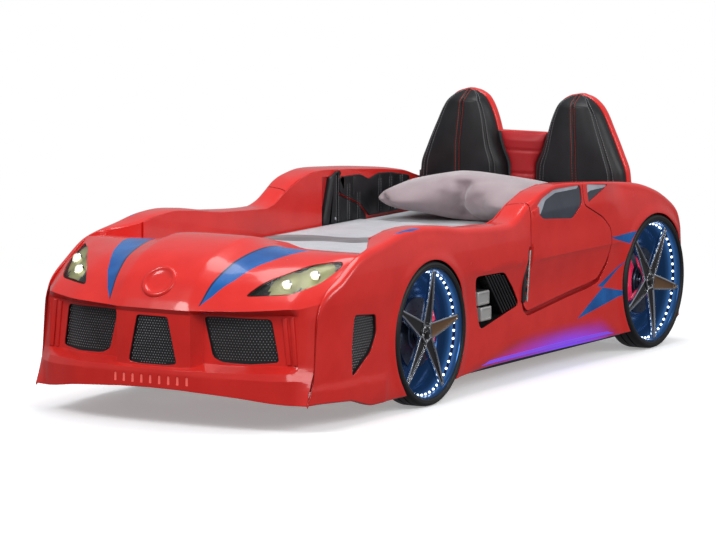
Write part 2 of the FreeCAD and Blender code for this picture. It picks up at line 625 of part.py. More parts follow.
# ---------------------------------------------------------------- wheels
def make_wheels():
    """Moulded wheels, bolted to the side boards: they carry no load and don't turn."""
    discs, lights, bolts = [], [], []
    for end, y in (("front", AXLE_F), ("rear", AXLE_R)):
        inner = X_TYRE - TYRE_W
        tyre = cylinder_x(TYRE_R, inner, X_TYRE, y, AXLE_Z)
        rims = [e for e in tyre.Edges if len(e.Vertexes) == 1 and e.Length > TYRE_R]
        tyre = tyre.makeFillet(12, rims)
        tyre = tyre.cut(cylinder_x(RIM_R, inner - 1, X_TYRE + 1, y, AXLE_Z))
        keep_pair(f"tyre_{end}", tyre)

        out = X_TYRE - 8
        back = out - RIM_W
        barrel = cylinder_x(RIM_R - 0.3, back, out, y, AXLE_Z).cut(
            cylinder_x(RIM_R - RIM_WALL, back + 6, out + 1, y, AXLE_Z))
        barrel = barrel.fuse(cylinder_x(HUB_R, back, out - 22, y, AXLE_Z))
        barrel = barrel.fuse(cylinder_x(HUB_R + 30, X_BOARD + 0.3, back + 1, y, AXLE_Z))
        for k in range(SPOKES):
            angle = 360.0 * k / SPOKES
            spoke = side_prism([(-24, 20), (24, 20), (16, RIM_R - 5), (-16, RIM_R - 5)],
                               out - 34, out - 12)
            spoke.rotate(V(0, 0, 0), V(1, 0, 0), angle)
            spoke.translate(V(0, y, AXLE_Z))
            barrel = barrel.fuse(spoke)
        barrel = barrel.cut(cylinder_x(HUB_R - 4, out - 22, out + 1, y, AXLE_Z))
        keep_pair(f"rim_{end}", biggest(barrel.removeSplitter()))

        ring = cylinder_x(RIM_R - RIM_WALL - 0.3, out - 9, out - 1, y, AXLE_Z).cut(
            cylinder_x(RIM_R - RIM_WALL - LED_RING_W, out - 10, out, y, AXLE_Z))
        lights += [ring, mirrored(ring)]
        disc = cylinder_x(DISC_R, back + 14, back + 14 + DISC_T, y, AXLE_Z).cut(
            cylinder_x(HUB_R + 0.3, back, out, y, AXLE_Z))
        caliper = cylinder_x(DISC_R + 26, back + 6.3, back + 34, y, AXLE_Z).cut(
            cylinder_x(DISC_R - 44, back, out, y, AXLE_Z))
        window = side_prism([(y, AXLE_Z), (y + 200, AXLE_Z - 90), (y + 200, AXLE_Z + 90)],
                            back, out)
        caliper = caliper.common(window).cut(
            cylinder_x(DISC_R + 0.4, back + 13.6, back + 14.4 + DISC_T, y, AXLE_Z))
        discs += [disc, caliper, mirrored(disc), mirrored(caliper)]
        for k in range(BOLT_COUNT):
            angle = math.radians(360.0 * k / BOLT_COUNT + 36)
            head = cylinder_x(BOLT_R, out - 22, out - 15, y + BOLT_CIRCLE_R * math.sin(angle),
                              AXLE_Z + BOLT_CIRCLE_R * math.cos(angle))
            bolts += [head, mirrored(head)]
    keep("brake_discs", *discs)
    keep("wheel_lights", *lights)
    keep("wheel_bolts", *bolts)


# ---------------------------------------------------------------- frame, headboard, bedding
def make_frame():
    half = X_IN - 0.4
    base = BOARD_BASE_Z
    keep("front_board", box(-half, half, FRONT_BOARD_Y - BOARD_T, FRONT_BOARD_Y, base,
                            HOOD_REAR_Z - 10))
    cleat_top = SLAT_BASE - 0.3
    y0, y1 = FRONT_BOARD_Y + 0.4, HEAD_Y - 0.4
    cleat = box(half - CLEAT_W, half, y0, y1, cleat_top - CLEAT_H, cleat_top)
    beam = box(BEAM_X - BEAM_W / 2, BEAM_X + BEAM_W / 2, y0, y1, cleat_top - BEAM_H, cleat_top)
    keep("bed_rails", cleat, mirrored(cleat), beam, mirrored(beam))
    first, last = y0 + SLAT_W, y1 - SLAT_W
    pitch = (last - first) / (SLAT_COUNT - 1)
    keep("slats", *[box(-half, half, first + i * pitch - SLAT_W / 2, first + i * pitch + SLAT_W / 2,
                        SLAT_BASE, SLAT_BASE + SLAT_T) for i in range(SLAT_COUNT)])
    legs = []
    foot_top = cleat_top - BEAM_H - 0.3
    for share in (0.3, 0.62, 0.94):
        y = y0 + (y1 - y0) * share
        for x in (-BEAM_X, BEAM_X):
            legs.append(box(x - BEAM_W / 2, x + BEAM_W / 2, y - 25, y + 25, 0, foot_top))
    keep("legs", *legs)
    back = TAIL_Y - 74
    panel = box(-X_SHELL, X_SHELL, back - SKIN, back, 96, ROOF_Z - 196)
    deck = box(-X_SHELL, X_SHELL, HEAD_Y + BOARD_T + BACK_SHELL_T + 2, back,
               ROOF_Z - 200, ROOF_Z - 196)
    keep("rear_panel", panel.fuse(deck))
    long, deep, high = POWER_BOX
    box_y = HEAD_Y + BOARD_T + 0.3
    keep("power_box", box(-long / 2, long / 2, box_y, box_y + deep, 120, 120 + high))


def seat_points(grow=0.0, foot=MATTRESS_TOP + 10):
    """One seat back's outline as (x, z): wide at the mattress, a leaning fin on top."""
    rise = SEAT_TOP_Z - foot
    inner = [(-176, 0.0), (-178, 0.2), (-174, 0.38), (-146, 0.54), (-112, 0.79), (-78, 0.93),
             (-38, 0.99)]
    outer = [(0, 1.0), (46, 0.97), (92, 0.88), (130, 0.72), (172, 0.52), (200, 0.36), (206, 0.18),
             (204, 0.0)]
    points = []
    for dx, share in inner + outer:
        side = -1 if dx < 0 else 1
        extra = grow if share > 0.6 else 0.0
        points.append((SEAT_X + dx + grow * side, foot + rise * share + extra))
    return points


def make_headboard():
    half = X_IN - 0.4
    fin = front_prism(seat_points(-8, BOARD_TOP_Z), HEAD_Y, HEAD_Y + BOARD_T)
    board = box(-half, half, HEAD_Y, HEAD_Y + BOARD_T, BOARD_BASE_Z, ROOF_Z - 70)
    middle = front_prism([(-150, ROOF_Z - 90), (150, ROOF_Z - 90), (120, 800), (-120, 800)],
                         HEAD_Y, HEAD_Y + BOARD_T)
    board = board.fuse(fin).fuse(mirrored(fin)).fuse(middle)
    keep("headboard_board", biggest(board.removeSplitter()))

    y0 = HEAD_Y + BOARD_T + 0.4
    y1 = y0 + BACK_SHELL_T
    base = ROOF_Z - 200
    def cover(grow, start):
        fins = front_prism(seat_points(grow, base - 20), start, y1)
        lower = box(-half + 14 - grow, half - 14 + grow, start, y1, base - 20, ROOF_Z - 60 + grow)
        mid = front_prism([(-150, ROOF_Z - 90), (150, ROOF_Z - 90), (126, 802 + grow),
                           (-126, 802 + grow)], start, y1)
        return fins.fuse(mirrored(fins)).fuse(lower).fuse(mid)

    back = cover(8, y0 - BOARD_T - 20).common(box(-X_IN, X_IN, y0, y1, base, SEAT_TOP_Z + 40))
    hollow = cover(8 - SKIN, y0 - BOARD_T - 20).common(
        box(-X_IN, X_IN, y0 - 1, y1 - SKIN, base - 1, SEAT_TOP_Z + 40))
    keep("headboard_shell", biggest(back.cut(hollow)))

    seats = []
    for depth, scale in ((SOFT_GAP / 2, 0.955), (18, 1.0), (46, 0.97), (70, 0.86), (SEAT_T, 0.7)):
        centre_z = (MATTRESS_TOP + SEAT_TOP_Z) / 2
        ring = [V(SEAT_X + (x - SEAT_X) * scale, HEAD_Y - depth, centre_z + (z - centre_z) * scale)
                for x, z in seat_points()]
        edges = [spline(ring), Part.makeLine(ring[-1], ring[0])]
        seats.append(Part.Wire(edges))
    seat = Part.makeLoft(seats, True, False)
    keep_pair("seat_back", seat)
    foot_x, top_x = SEAT_X - 189, SEAT_X - 143
    pad = front_prism([(-foot_x, MATTRESS_TOP + 14), (foot_x, MATTRESS_TOP + 14), (foot_x, 664),
                       (foot_x + 30, 742), (top_x, 800), (-top_x, 800), (-foot_x - 30, 742),
                       (-foot_x, 664)], HEAD_Y - 26, HEAD_Y - SOFT_GAP / 2)
    keep("centre_pad", pad)


def make_bedding():
    mattress = box(-MATTRESS_W / 2, MATTRESS_W / 2, MAT_Y0, MAT_Y1, MAT_BASE, MATTRESS_TOP)
    keep("mattress", mattress.makeFillet(22, mattress.Edges))
    wide, long, thick = COVER
    y1 = HEAD_Y - COVER_BACK
    cover = box(-wide / 2, wide / 2, y1 - long, y1, MATTRESS_TOP + 0.3, MATTRESS_TOP + 0.3 + thick)
    keep("cover", cover.makeFillet(9, cover.Edges))
    long, wide, thick = PILLOW
    rings = []
    for share, size in ((-0.5, 0.10), (-0.44, 0.45), (-0.3, 0.8), (0, 1.0), (0.3, 0.8), (0.44, 0.45),
                        (0.5, 0.10)):
        half_w = wide / 2 * (0.92 + 0.16 * abs(share))
        ellipse = Part.Ellipse(V(0, 0, 0), half_w, thick / 2 * size)
        ring = Part.Wire([ellipse.toShape()])
        ring.rotate(V(0, 0, 0), V(0, 0, 1), 90)
        ring.rotate(V(0, 0, 0), V(0, 1, 0), 90)
        ring.translate(V(share * long, 0, 0))
        rings.append(ring)
    pillow = Part.makeLoft(rings, True, False)
    pillow.rotate(V(0, 0, 0), V(1, 0, 0), PILLOW_TILT)
    seat_front = HEAD_Y - SEAT_T
    low = pillow.optimalBoundingBox(False, False)
    pillow.translate(V(-45, seat_front - FIT - low.YMax, MATTRESS_TOP + FIT - low.ZMin))
    keep("pillow", pillow)


def build():
    make_sides()
    make_scoops()
    make_hinges()
    make_door_inside()
    make_walls()
    make_front()
    make_wheels()
    make_frame()
    make_headboard()
    make_bedding()
    for name in sorted(PARTS):
        shape = PARTS[name]
        state = "ok" if shape.isValid() else "BROKEN"
        print(f"{name}: {len(shape.Solids)} solids, {shape.Volume / 1000:.1f} cm3, {state}")
        shape.exportStep(f"parts/{name}.step")
    print(len(PARTS), "nodes")


build()
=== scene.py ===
import logging
import math
from collections.abc import Callable, Iterable, Sequence
from dataclasses import dataclass
from enum import Enum

import bmesh
import bpy
from mathutils import Matrix, Vector
from mathutils.bvhtree import BVHTree


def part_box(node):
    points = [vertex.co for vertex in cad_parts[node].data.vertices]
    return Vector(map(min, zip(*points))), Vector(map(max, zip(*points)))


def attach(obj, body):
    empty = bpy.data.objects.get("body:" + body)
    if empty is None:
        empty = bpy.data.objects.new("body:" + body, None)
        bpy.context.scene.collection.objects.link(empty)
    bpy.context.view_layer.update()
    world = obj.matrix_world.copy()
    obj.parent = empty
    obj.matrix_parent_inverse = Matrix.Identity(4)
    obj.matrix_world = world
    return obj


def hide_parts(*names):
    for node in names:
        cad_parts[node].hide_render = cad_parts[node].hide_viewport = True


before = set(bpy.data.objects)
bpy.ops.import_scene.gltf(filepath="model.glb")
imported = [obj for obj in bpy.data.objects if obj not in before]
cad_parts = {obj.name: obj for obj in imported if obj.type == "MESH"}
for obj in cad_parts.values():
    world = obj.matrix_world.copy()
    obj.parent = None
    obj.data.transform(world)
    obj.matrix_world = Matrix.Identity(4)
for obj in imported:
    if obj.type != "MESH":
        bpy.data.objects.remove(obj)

log = logging.getLogger("car_bed")

Point = tuple[float, float]
Outline = Sequence[Point]
Mesh = bmesh.types.BMesh
Face = bmesh.types.BMFace
Place = Callable[[float, float], Vector]
Socket = bpy.types.NodeSocket

MM = 0.001
TAU = 2 * math.pi
WALL = 0.0035  # thickness of the mouldings, in metres
STUD_PITCH = 0.0105  # distance between a mesh's studs, in metres
BEFORE_NOSE = -1.7  # a y in front of the bed, in metres
PAD_FACE = 452.0  # x of the side pads' crown, in millimetres
WHITE = (1, 1, 1, 1)


# ---- driving sizes, in millimetres
@dataclass(frozen=True)
class BedSizes:
    """Places that several pieces share, in millimetres, as the frame has them."""

    nose: float = -1505.0
    tail: float = 1505.0
    axle_front: float = -568.0
    axle_rear: float = 1208.0
    axle_z: float = 258.0
    arch_r: float = 263.0
    wide: float = 590.0
    hood_x: float = 548.0
    shell_x: float = 467.5
    head_y: float = 1240.0
    wing_step: float = -779.5
    hinge_y: float = 190.0
    hinge_z: float = 385.0
    hinge_x: float = 575.0
    rake: float = math.tan(math.radians(7.0))
    belt: float = 438.0
    seat_x: float = 243.0
    seat_top: float = 958.0


S = BedSizes()


class Along(Enum):
    """The axis that an outline is pushed along. Its value lists the outline's two axes, then it."""

    X = (1, 2, 0)
    Y = (0, 2, 1)
    Z = (0, 1, 2)

    def point(self, a: float, b: float, c: float) -> Vector:
        """A point in space.

        Args:
            a: the outline's first coordinate.
            b: its second coordinate.
            c: the place along the axis.

        Returns:
            The point.
        """
        v = Vector((0.0, 0.0, 0.0))
        v[self.value[0]], v[self.value[1]], v[self.value[2]] = a, b, c
        return v

    def flat(self, v: Vector) -> Point:
        """A point's two outline coordinates."""
        return v[self.value[0]], v[self.value[1]]


class Side(Enum):
    """The two sides of the bed, as seen from the nose."""

    RIGHT = 1
    LEFT = -1

    @property
    def word(self) -> str:
        """The side's name, as nodes and bodies have it."""
        return self.name.lower()


# ---- curves and outlines
class Track:
    """A smooth curve through given stations that never overshoots them."""

    def __init__(self, points: Outline) -> None:
        """Takes the stations in rising order.

        Args:
            points: (station, value) pairs.
        """
        self.s = [p[0] for p in points]
        self.v = [p[1] for p in points]
        n = len(points)
        step = [(self.v[i + 1] - self.v[i]) / (self.s[i + 1] - self.s[i]) for i in range(n - 1)]
        self.m = [step[0]] + [0.0] * (n - 2) + [step[-1]]
        for i in range(1, n - 1):
            if step[i - 1] * step[i] > 0:
                self.m[i] = 2 * step[i - 1] * step[i] / (step[i - 1] + step[i])

    def __call__(self, s: float) -> float:
        """The curve's value.

        Args:
            s: the station.

        Returns:
            The value there, and the end value beyond an end.
        """
        if s <= self.s[0]:
            return self.v[0]
        if s >= self.s[-1]:
            return self.v[-1]
        i = max(k for k in range(len(self.s) - 1) if self.s[k] <= s)
        h = self.s[i + 1] - self.s[i]
        t = (s - self.s[i]) / h
        a = self.v[i] * (1 + 2 * t) * (1 - t) ** 2 + self.m[i] * h * t * (1 - t) ** 2
        return a + self.v[i + 1] * t * t * (3 - 2 * t) + self.m[i + 1] * h * t * t * (t - 1)


def step_up(x: float, low: float, high: float) -> float:
    """Smooth rise from 0 at low to 1 at high."""
    t = min(1.0, max(0.0, (x - low) / (high - low)))
    return t * t * (3 - 2 * t)


def bump(x: float, centre: float, width: float) -> float:
    """A bell of height 1."""
    return math.exp(-(((x - centre) / width) ** 2))


def eased(points: Sequence[Vector], sharp: set[int], steps: Sequence[int]) -> list[Vector]:
    """A dense line through points, smooth except at the sharp ones.

    Args:
        points: the points to pass through.
        sharp: indices at which the line may bend.
        steps: pieces in each gap between neighbours.

    Returns:
        The line's points.
    """
    dense = []
    last, most = len(points) - 1, max(steps)
    for i in range(last):
        p1, p2 = points[i], points[i + 1]
        p0 = points[i - 1] if i > 0 and i not in sharp else p1 * 2 - p2
        p3 = points[i + 2] if i + 2 <= last and i + 1 not in sharp else p2 * 2 - p1
        gap = (p2 - p1).length + 1e-9
        m1 = (p2 - p0) * (gap / (gap + (p1 - p0).length + 1e-9))
        m2 = (p3 - p1) * (gap / (gap + (p3 - p2).length + 1e-9))
        for k in range(most):
            t = k / most
            dense.append(p1 * ((1 + 2 * t) * (1 - t) ** 2) + m1 * (t * (1 - t) ** 2)
                         + p2 * (t * t * (3 - 2 * t)) + m2 * (t * t * (t - 1)))
    dense.append(points[-1].copy())
    line = []
    for gap, n in enumerate(steps):
        for k in range(n):
            at = gap * most + k * most / n
            i, t = int(at), at - int(at)
            line.append(dense[i].lerp(dense[min(i + 1, len(dense) - 1)], t))
    return [*line, dense[-1]]


def metres(outline: Outline) -> list[Point]:
    """An outline in millimetres, turned into metres."""
    return [(a * MM, b * MM) for a, b in outline]


def rounded(outline: Outline, radius: float, steps: int = 4) -> list[Point]:
    """The outline with each corner eased over about the given radius.

    Args:
        outline: corners of a closed outline.
        radius: how far from a corner the easing starts.
        steps: points added at each corner.

    Returns:
        The new outline.
    """
    made = []
    n = len(outline)
    for i, corner in enumerate(outline):
        c = Vector(corner)
        ends = []
        for other in (outline[i - 1], outline[(i + 1) % n]):
            d = Vector(other) - c
            ends.append(c + d * min(0.45, radius / max(d.length, 1e-9)))
        for k in range(steps + 1):
            t = k / steps
            p = ends[0] * (1 - t) ** 2 + c * (2 * t * (1 - t)) + ends[1] * t * t
            made.append((p.x, p.y))
    return made


def signed_area(outline: Outline) -> float:
    """Twice the outline's area, positive if it runs anticlockwise."""
    return sum(a[0] * b[1] - b[0] * a[1] for a, b in zip(outline, [*outline[1:], outline[0]]))


def grown(outline: Outline, by: float) -> list[Point]:
    """The outline moved outwards.

    Args:
        outline: corners of a closed outline.
        by: how far, inwards where negative.

    Returns:
        The new outline.
    """
    turn = 1 if signed_area(outline) > 0 else -1
    n = len(outline)
    made = []
    for i in range(n):
        a, b, c = (Vector(outline[(i + k) % n]) for k in (-1, 0, 1))
        d1, d2 = (b - a).normalized(), (c - b).normalized()
        n1, n2 = Vector((d1.y, -d1.x)) * turn, Vector((d2.y, -d2.x)) * turn
        mid = (n1 + n2).normalized()
        p = b + mid * (by / max(0.5, mid.dot(n1)))
        made.append((p.x, p.y))
    return made


def inside(outline: Outline, a: float, b: float) -> bool:
    """Tells whether a point lies in an outline.

    Args:
        outline: corners of a closed outline.
        a: the point's first coordinate.
        b: its second coordinate.

    Returns:
        True if it lies inside.
    """
    hit = False
    for (x0, y0), (x1, y1) in zip(outline, [*outline[1:], outline[0]]):
        if (y0 > b) != (y1 > b) and a < (x1 - x0) * (b - y0) / (y1 - y0) + x0:
            hit = not hit
    return hit


def ring_outline(a: float, b: float, radius: float, count: int = 96) -> list[Point]:
    """A circle as an outline."""
    return [(a + radius * math.cos(TAU * k / count), b + radius * math.sin(TAU * k / count))
            for k in range(count)]


# ---- mesh tools
def outward(bm: Mesh) -> None:
    """Makes all faces look the same way, outwards where the mesh is closed."""
    bmesh.ops.recalc_face_normals(bm, faces=list(bm.faces))


def facing(bm: Mesh, axis: int, score: Callable[[Vector], float]) -> None:
    """Turns a surface so that its chosen face looks the positive way of an axis.

    Args:
        bm: the surface.
        axis: the axis as an index.
        score: chooses the face, by the lowest score of its centre.
    """
    outward(bm)
    if min(bm.faces, key=lambda f: score(f.calc_center_median())).normal[axis] < 0:
        bmesh.ops.reverse_faces(bm, faces=list(bm.faces))


def shift(bm: Mesh, *by: float) -> Mesh:
    """The mesh, moved by so many metres along x, y and z."""
    bmesh.ops.translate(bm, verts=list(bm.verts), vec=by)
    return bm


def placed(bm: Mesh, place: Matrix) -> Mesh:
    """The mesh, put in place by a matrix."""
    bmesh.ops.transform(bm, matrix=place, verts=list(bm.verts))
    return bm


def ball(bm: Mesh, place: Matrix, radius: float, detail: int = 1) -> Mesh:
    """The mesh with a small ball added at a place."""
    bmesh.ops.create_icosphere(bm, subdivisions=detail, radius=radius, matrix=place)
    return bm


def of_kind(made: dict[str, list[object]], kind: type) -> list[object]:
    """The points or the faces among what a mesh operator has made."""
    return [g for g in made["geom"] if isinstance(g, kind)]


def skinned(bm: Mesh, rings: Sequence[Sequence[bmesh.types.BMVert]]) -> None:
    """Joins each ring of points to the next by faces.

    Args:
        bm: the mesh that has the points.
        rings: rings of equally many points.
    """
    for a, b in zip(rings, rings[1:]):
        for k in range(len(a)):
            n = (k + 1) % len(a)
            bm.faces.new((a[k], a[n], b[n], b[k]))


def from_front(tree: BVHTree, x: float, z: float) -> Vector | None:
    """The first place of a surface that is met at x and z from in front of the nose."""
    return tree.ray_cast(Vector((x, BEFORE_NOSE, z)), Vector((0, 1, 0)))[0]


def grid(columns: int, rows: int, place: Callable[[int, int], Vector]) -> Mesh:
    """A grid whose points are each put in their place.

    Args:
        columns: points one way.
        rows: points the other way.
        place: gives the point at (column, row).

    Returns:
        The new mesh.
    """
    bm = bmesh.new()
    bmesh.ops.create_grid(bm, x_segments=columns - 1, y_segments=rows - 1, size=1.0)
    for v in bm.verts:
        i = round((v.co.x + 1) / 2 * (columns - 1))
        j = round((v.co.y + 1) / 2 * (rows - 1))
        v.co = place(i, j)
    return bm


def knife(bm: Mesh, outline: Outline, along: Along = Along.X, shear: float = 0.0,
          origin: float = 0.0, want: Callable[[Vector], bool] = lambda c: True) -> list[Face]:
    """Cuts the faces of a surface along an outline that is projected onto it.

    Args:
        bm: the surface.
        outline: closed outline in metres, in the two axes across `along`.
        along: the direction of projection.
        shear: how far the first outline axis moves per metre of depth.
        origin: the depth at which the outline is stated.
        want: says by its centre whether a face takes part.

    Returns:
        The faces that lie in the outline.
    """
    depth = along.value[2]

    def flat(v: Vector) -> Point:
        """A point's place in the plane of the outline."""
        a, b = along.flat(v)
        return a - shear * (v[depth] - origin), b

    def span(face: Face) -> tuple[float, float, float, float]:
        """The low and high end of a face in that plane, first way, then second."""
        a, b = zip(*(flat(v.co) for v in face.verts))
        return min(a), max(a), min(b), max(b)

    margin, reach, merge = 0.002, 1e-5, 1e-6
    lo = (min(p[0] for p in outline) - margin, min(p[1] for p in outline) - margin)
    hi = (max(p[0] for p in outline) + margin, max(p[1] for p in outline) + margin)
    zone = {}
    for face in bm.faces:
        if want(face.calc_center_median()):
            s = span(face)
            if s[1] > lo[0] and s[0] < hi[0] and s[3] > lo[1] and s[2] < hi[1]:
                zone[face] = s
    for a, b in zip(outline, [*outline[1:], outline[0]]):
        if math.dist(a, b) < merge:
            continue
        near = [f for f, s in zone.items()
                if s[1] > min(a[0], b[0]) - reach and s[0] < max(a[0], b[0]) + reach
                and s[3] > min(a[1], b[1]) - reach and s[2] < max(a[1], b[1]) + reach]
        if not near:
            continue
        na, nb = b[1] - a[1], a[0] - b[0]
        geom = set(near)
        for face in near:
            geom.update(face.edges)
            geom.update(face.verts)
        made = bmesh.ops.bisect_plane(bm, geom=list(geom), dist=merge,
                                      plane_co=along.point(a[0], a[1], origin),
                                      plane_no=along.point(na, nb, -shear * na).normalized())
        for f in [*near, *of_kind(made, Face)]:
            if f.is_valid:
                zone[f] = span(f)
            else:
                zone.pop(f, None)
    return [face for face in zone if inside(outline, *flat(face.calc_center_median()))]


def split_off(bm: Mesh, faces: Iterable[Face]) -> Mesh:
    """Takes faces out of a mesh.

    Args:
        bm: the mesh.
        faces: the faces to take out.

    Returns:
        A mesh of those faces.
    """
    chosen = set(faces)
    marks = [f in chosen for f in bm.faces]
    part = bm.copy()
    rest = [f for f, mark in zip(part.faces, marks) if not mark]
    bmesh.ops.delete(part, geom=rest, context="FACES")
    bmesh.ops.delete(bm, geom=list(chosen), context="FACES")
    return part


def prism(outline: Outline, along: Along, low: float, high: float, soften: float = 0.0,
          segments: int = 2) -> Mesh:
    """A closed prism with its rims eased.

    Args:
        outline: closed outline in metres.
        along: axis that it is pushed along.
        low: start along the axis.
        high: end along the axis.
        soften: bevel of the rims.
        segments: steps of that bevel.

    Returns:
        The new mesh.
    """
    bm = bmesh.new()
    face = bm.faces.new([bm.verts.new(along.point(a, b, low)) for a, b in outline])
    top = of_kind(bmesh.ops.extrude_face_region(bm, geom=[face]), bmesh.types.BMVert)
    bmesh.ops.translate(bm, verts=top, vec=along.point(0, 0, high - low))
    outward(bm)
    if soften:
        depth = along.value[2]
        rims = [e for e in bm.edges if abs(e.verts[0].co[depth] - e.verts[1].co[depth]) < 1e-7]
        bmesh.ops.bevel(bm, geom=rims, offset=soften, offset_type="OFFSET", segments=segments,
                        profile=0.5, affect="EDGES", clamp_overlap=True, material=-1)
    return bm


def lathe(profile: Outline, y: float, z: float, steps: int) -> Mesh:
    """Turns a closed profile about an axis along X.

    Args:
        profile: (x, radius) points in metres.
        y: the axis's y.
        z: the axis's z.
        steps: points round the axis.

    Returns:
        The new mesh.
    """
    bm = bmesh.new()
    verts = [bm.verts.new((x, y, z + r)) for x, r in profile]
    edges = [bm.edges.new(p) for p in zip(verts, [*verts[1:], verts[0]])]
    bmesh.ops.spin(bm, geom=verts + edges, cent=(0, y, z), axis=(1, 0, 0), dvec=(0, 0, 0),
                   angle=TAU, steps=steps, use_merge=True, use_duplicate=False)
    bmesh.ops.remove_doubles(bm, verts=list(bm.verts), dist=1e-6)
    outward(bm)
    return bm


def block(size: Vector, place: Matrix, soften: float = 0.0) -> Mesh:
    """A box with eased edges.

    Args:
        size: its three sizes in metres.
        place: puts it in place.
        soften: bevel of its edges.

    Returns:
        The box.
    """
    bm = bmesh.new()
    bmesh.ops.create_cube(bm, size=1.0)
    bmesh.ops.scale(bm, verts=list(bm.verts), vec=size)
    if soften:
        bmesh.ops.bevel(bm, geom=list(bm.edges), offset=soften, offset_type="OFFSET", segments=3,
                        profile=0.5, affect="EDGES", clamp_overlap=True, material=-1)
    return placed(bm, place)


def span_box(x: Point, y: Point, z: Point, soften: float = 0.0) -> Mesh:
    """A box between two places on each axis.

    Args:
        x: its ends along x, in millimetres.
        y: its ends along y.
        z: its ends along z.
        soften: bevel of its edges, in millimetres.

    Returns:
        The box.
    """
    lo = Vector((x[0], y[0], z[0])) * MM
    hi = Vector((x[1], y[1], z[1])) * MM
    return block(hi - lo, Matrix.Translation((lo + hi) / 2), soften * MM)


def join(*parts: Mesh) -> Mesh:
    """Makes several meshes one.

    Args:
        parts: the meshes; all but the first are used up.

    Returns:
        The first mesh, with the others in it.
    """
    for part in parts[1:]:
        mesh = bpy.data.meshes.new("joined")
        part.to_mesh(mesh)
        part.free()
        parts[0].from_mesh(mesh)
        bpy.data.meshes.remove(mesh)
    return parts[0]


def painted(bm: Mesh, index: int) -> Mesh:
    """Puts every face on one of its piece's finishes.

    Args:
        bm: the mesh.
        index: the finish's place in the piece's list.

    Returns:
        The same mesh.
    """
    for face in bm.faces:
        face.material_index = index
    return bm


def mirrored(bm: Mesh) -> Mesh:
    """A copy for the other side of the bed.

    Args:
        bm: the mesh, which is kept.

    Returns:
        Its mirror image.
    """
    other = bm.copy()
    bmesh.ops.scale(other, verts=list(other.verts), vec=(-1, 1, 1))
    bmesh.ops.reverse_faces(other, faces=list(other.faces))
    return other


def closed_pad(columns: int, rows: int, front: Place, back: Place) -> Mesh:
    """A padded form: a crowned front and a flatter back that meet at their borders.

    Args:
        columns: points across.
        rows: points up.
        front: the front's point at (u, v), both from 0 to 1.
        back: the back's point there.

    Returns:
        The closed mesh.
    """
    a, b = columns - 1, rows - 1
    bm = join(grid(columns, rows, lambda i, j: front(i / a, j / b)),
              grid(columns, rows, lambda i, j: back(i / a, j / b)))
    bmesh.ops.remove_doubles(bm, verts=list(bm.verts), dist=2e-5)
    bmesh.ops.dissolve_degenerate(bm, dist=1e-6, edges=list(bm.edges))
    outward(bm)
    return bm


def stitches(line: Sequence[Vector], length: float = 0.007, gap: float = 0.003,
             thick: float = 0.0011) -> Mesh:
    """A row of sewn stitches along a line.

    Args:
        line: points in metres.
        length: of one stitch.
        gap: between two of them.
        thick: half a stitch's thickness.

    Returns:
        The stitches.
    """
    bm = bmesh.new()
    travelled, need = 0.0, 0.0
    for a, b in zip(line, line[1:]):
        d = b - a
        if d.length < 1e-9:
            continue
        while travelled + d.length > need:
            p = a + d * ((need - travelled) / d.length)
            turn = d.to_track_quat("X", "Z").to_matrix().to_4x4()
            scale = Matrix.Diagonal((length / 2, thick, thick, 1))
            ball(bm, Matrix.Translation(p) @ turn @ scale, 1.0)
            need += length + gap
        travelled += d.length
    return bm


# ---- finishes
@dataclass(frozen=True)
class Shading:
    """Adds nodes to a node tree and links them."""

    tree: bpy.types.NodeTree

    def put(self, node: bpy.types.Node, values: dict[str | int, object]) -> None:
        """Fills inputs of a node.

        Args:
            node: the node.
            values: for an input's name or number a constant, or a socket to link from.
        """
        for key, value in values.items():
            if isinstance(value, Socket):
                self.tree.links.new(value, node.inputs[key])
            else:
                node.inputs[key].default_value = value

    def add(self, kind: str, out: str, values: dict[str | int, object] | None = None,
            **options: str | int) -> Socket:
        """Adds a node.

        Args:
            kind: its type, without the beginning that all types share.
            out: name of the wanted output.
            values: as for `put`.
            options: the node's own settings.

        Returns:
            The wanted output.
        """
        node = self.tree.nodes.new("ShaderNode" + kind)
        for key, value in options.items():
            setattr(node, key, value)
        self.put(node, values or {})
        return node.outputs[out]


class Texture(Enum):
    """What a finish has in its surface."""

    SMOOTH = "smooth"
    MOULDED = "moulded"
    LEATHER = "leather"
    KNIT = "knit"
    VELVET = "velvet"
    GRAIN = "grain"
    BRUSHED = "brushed"


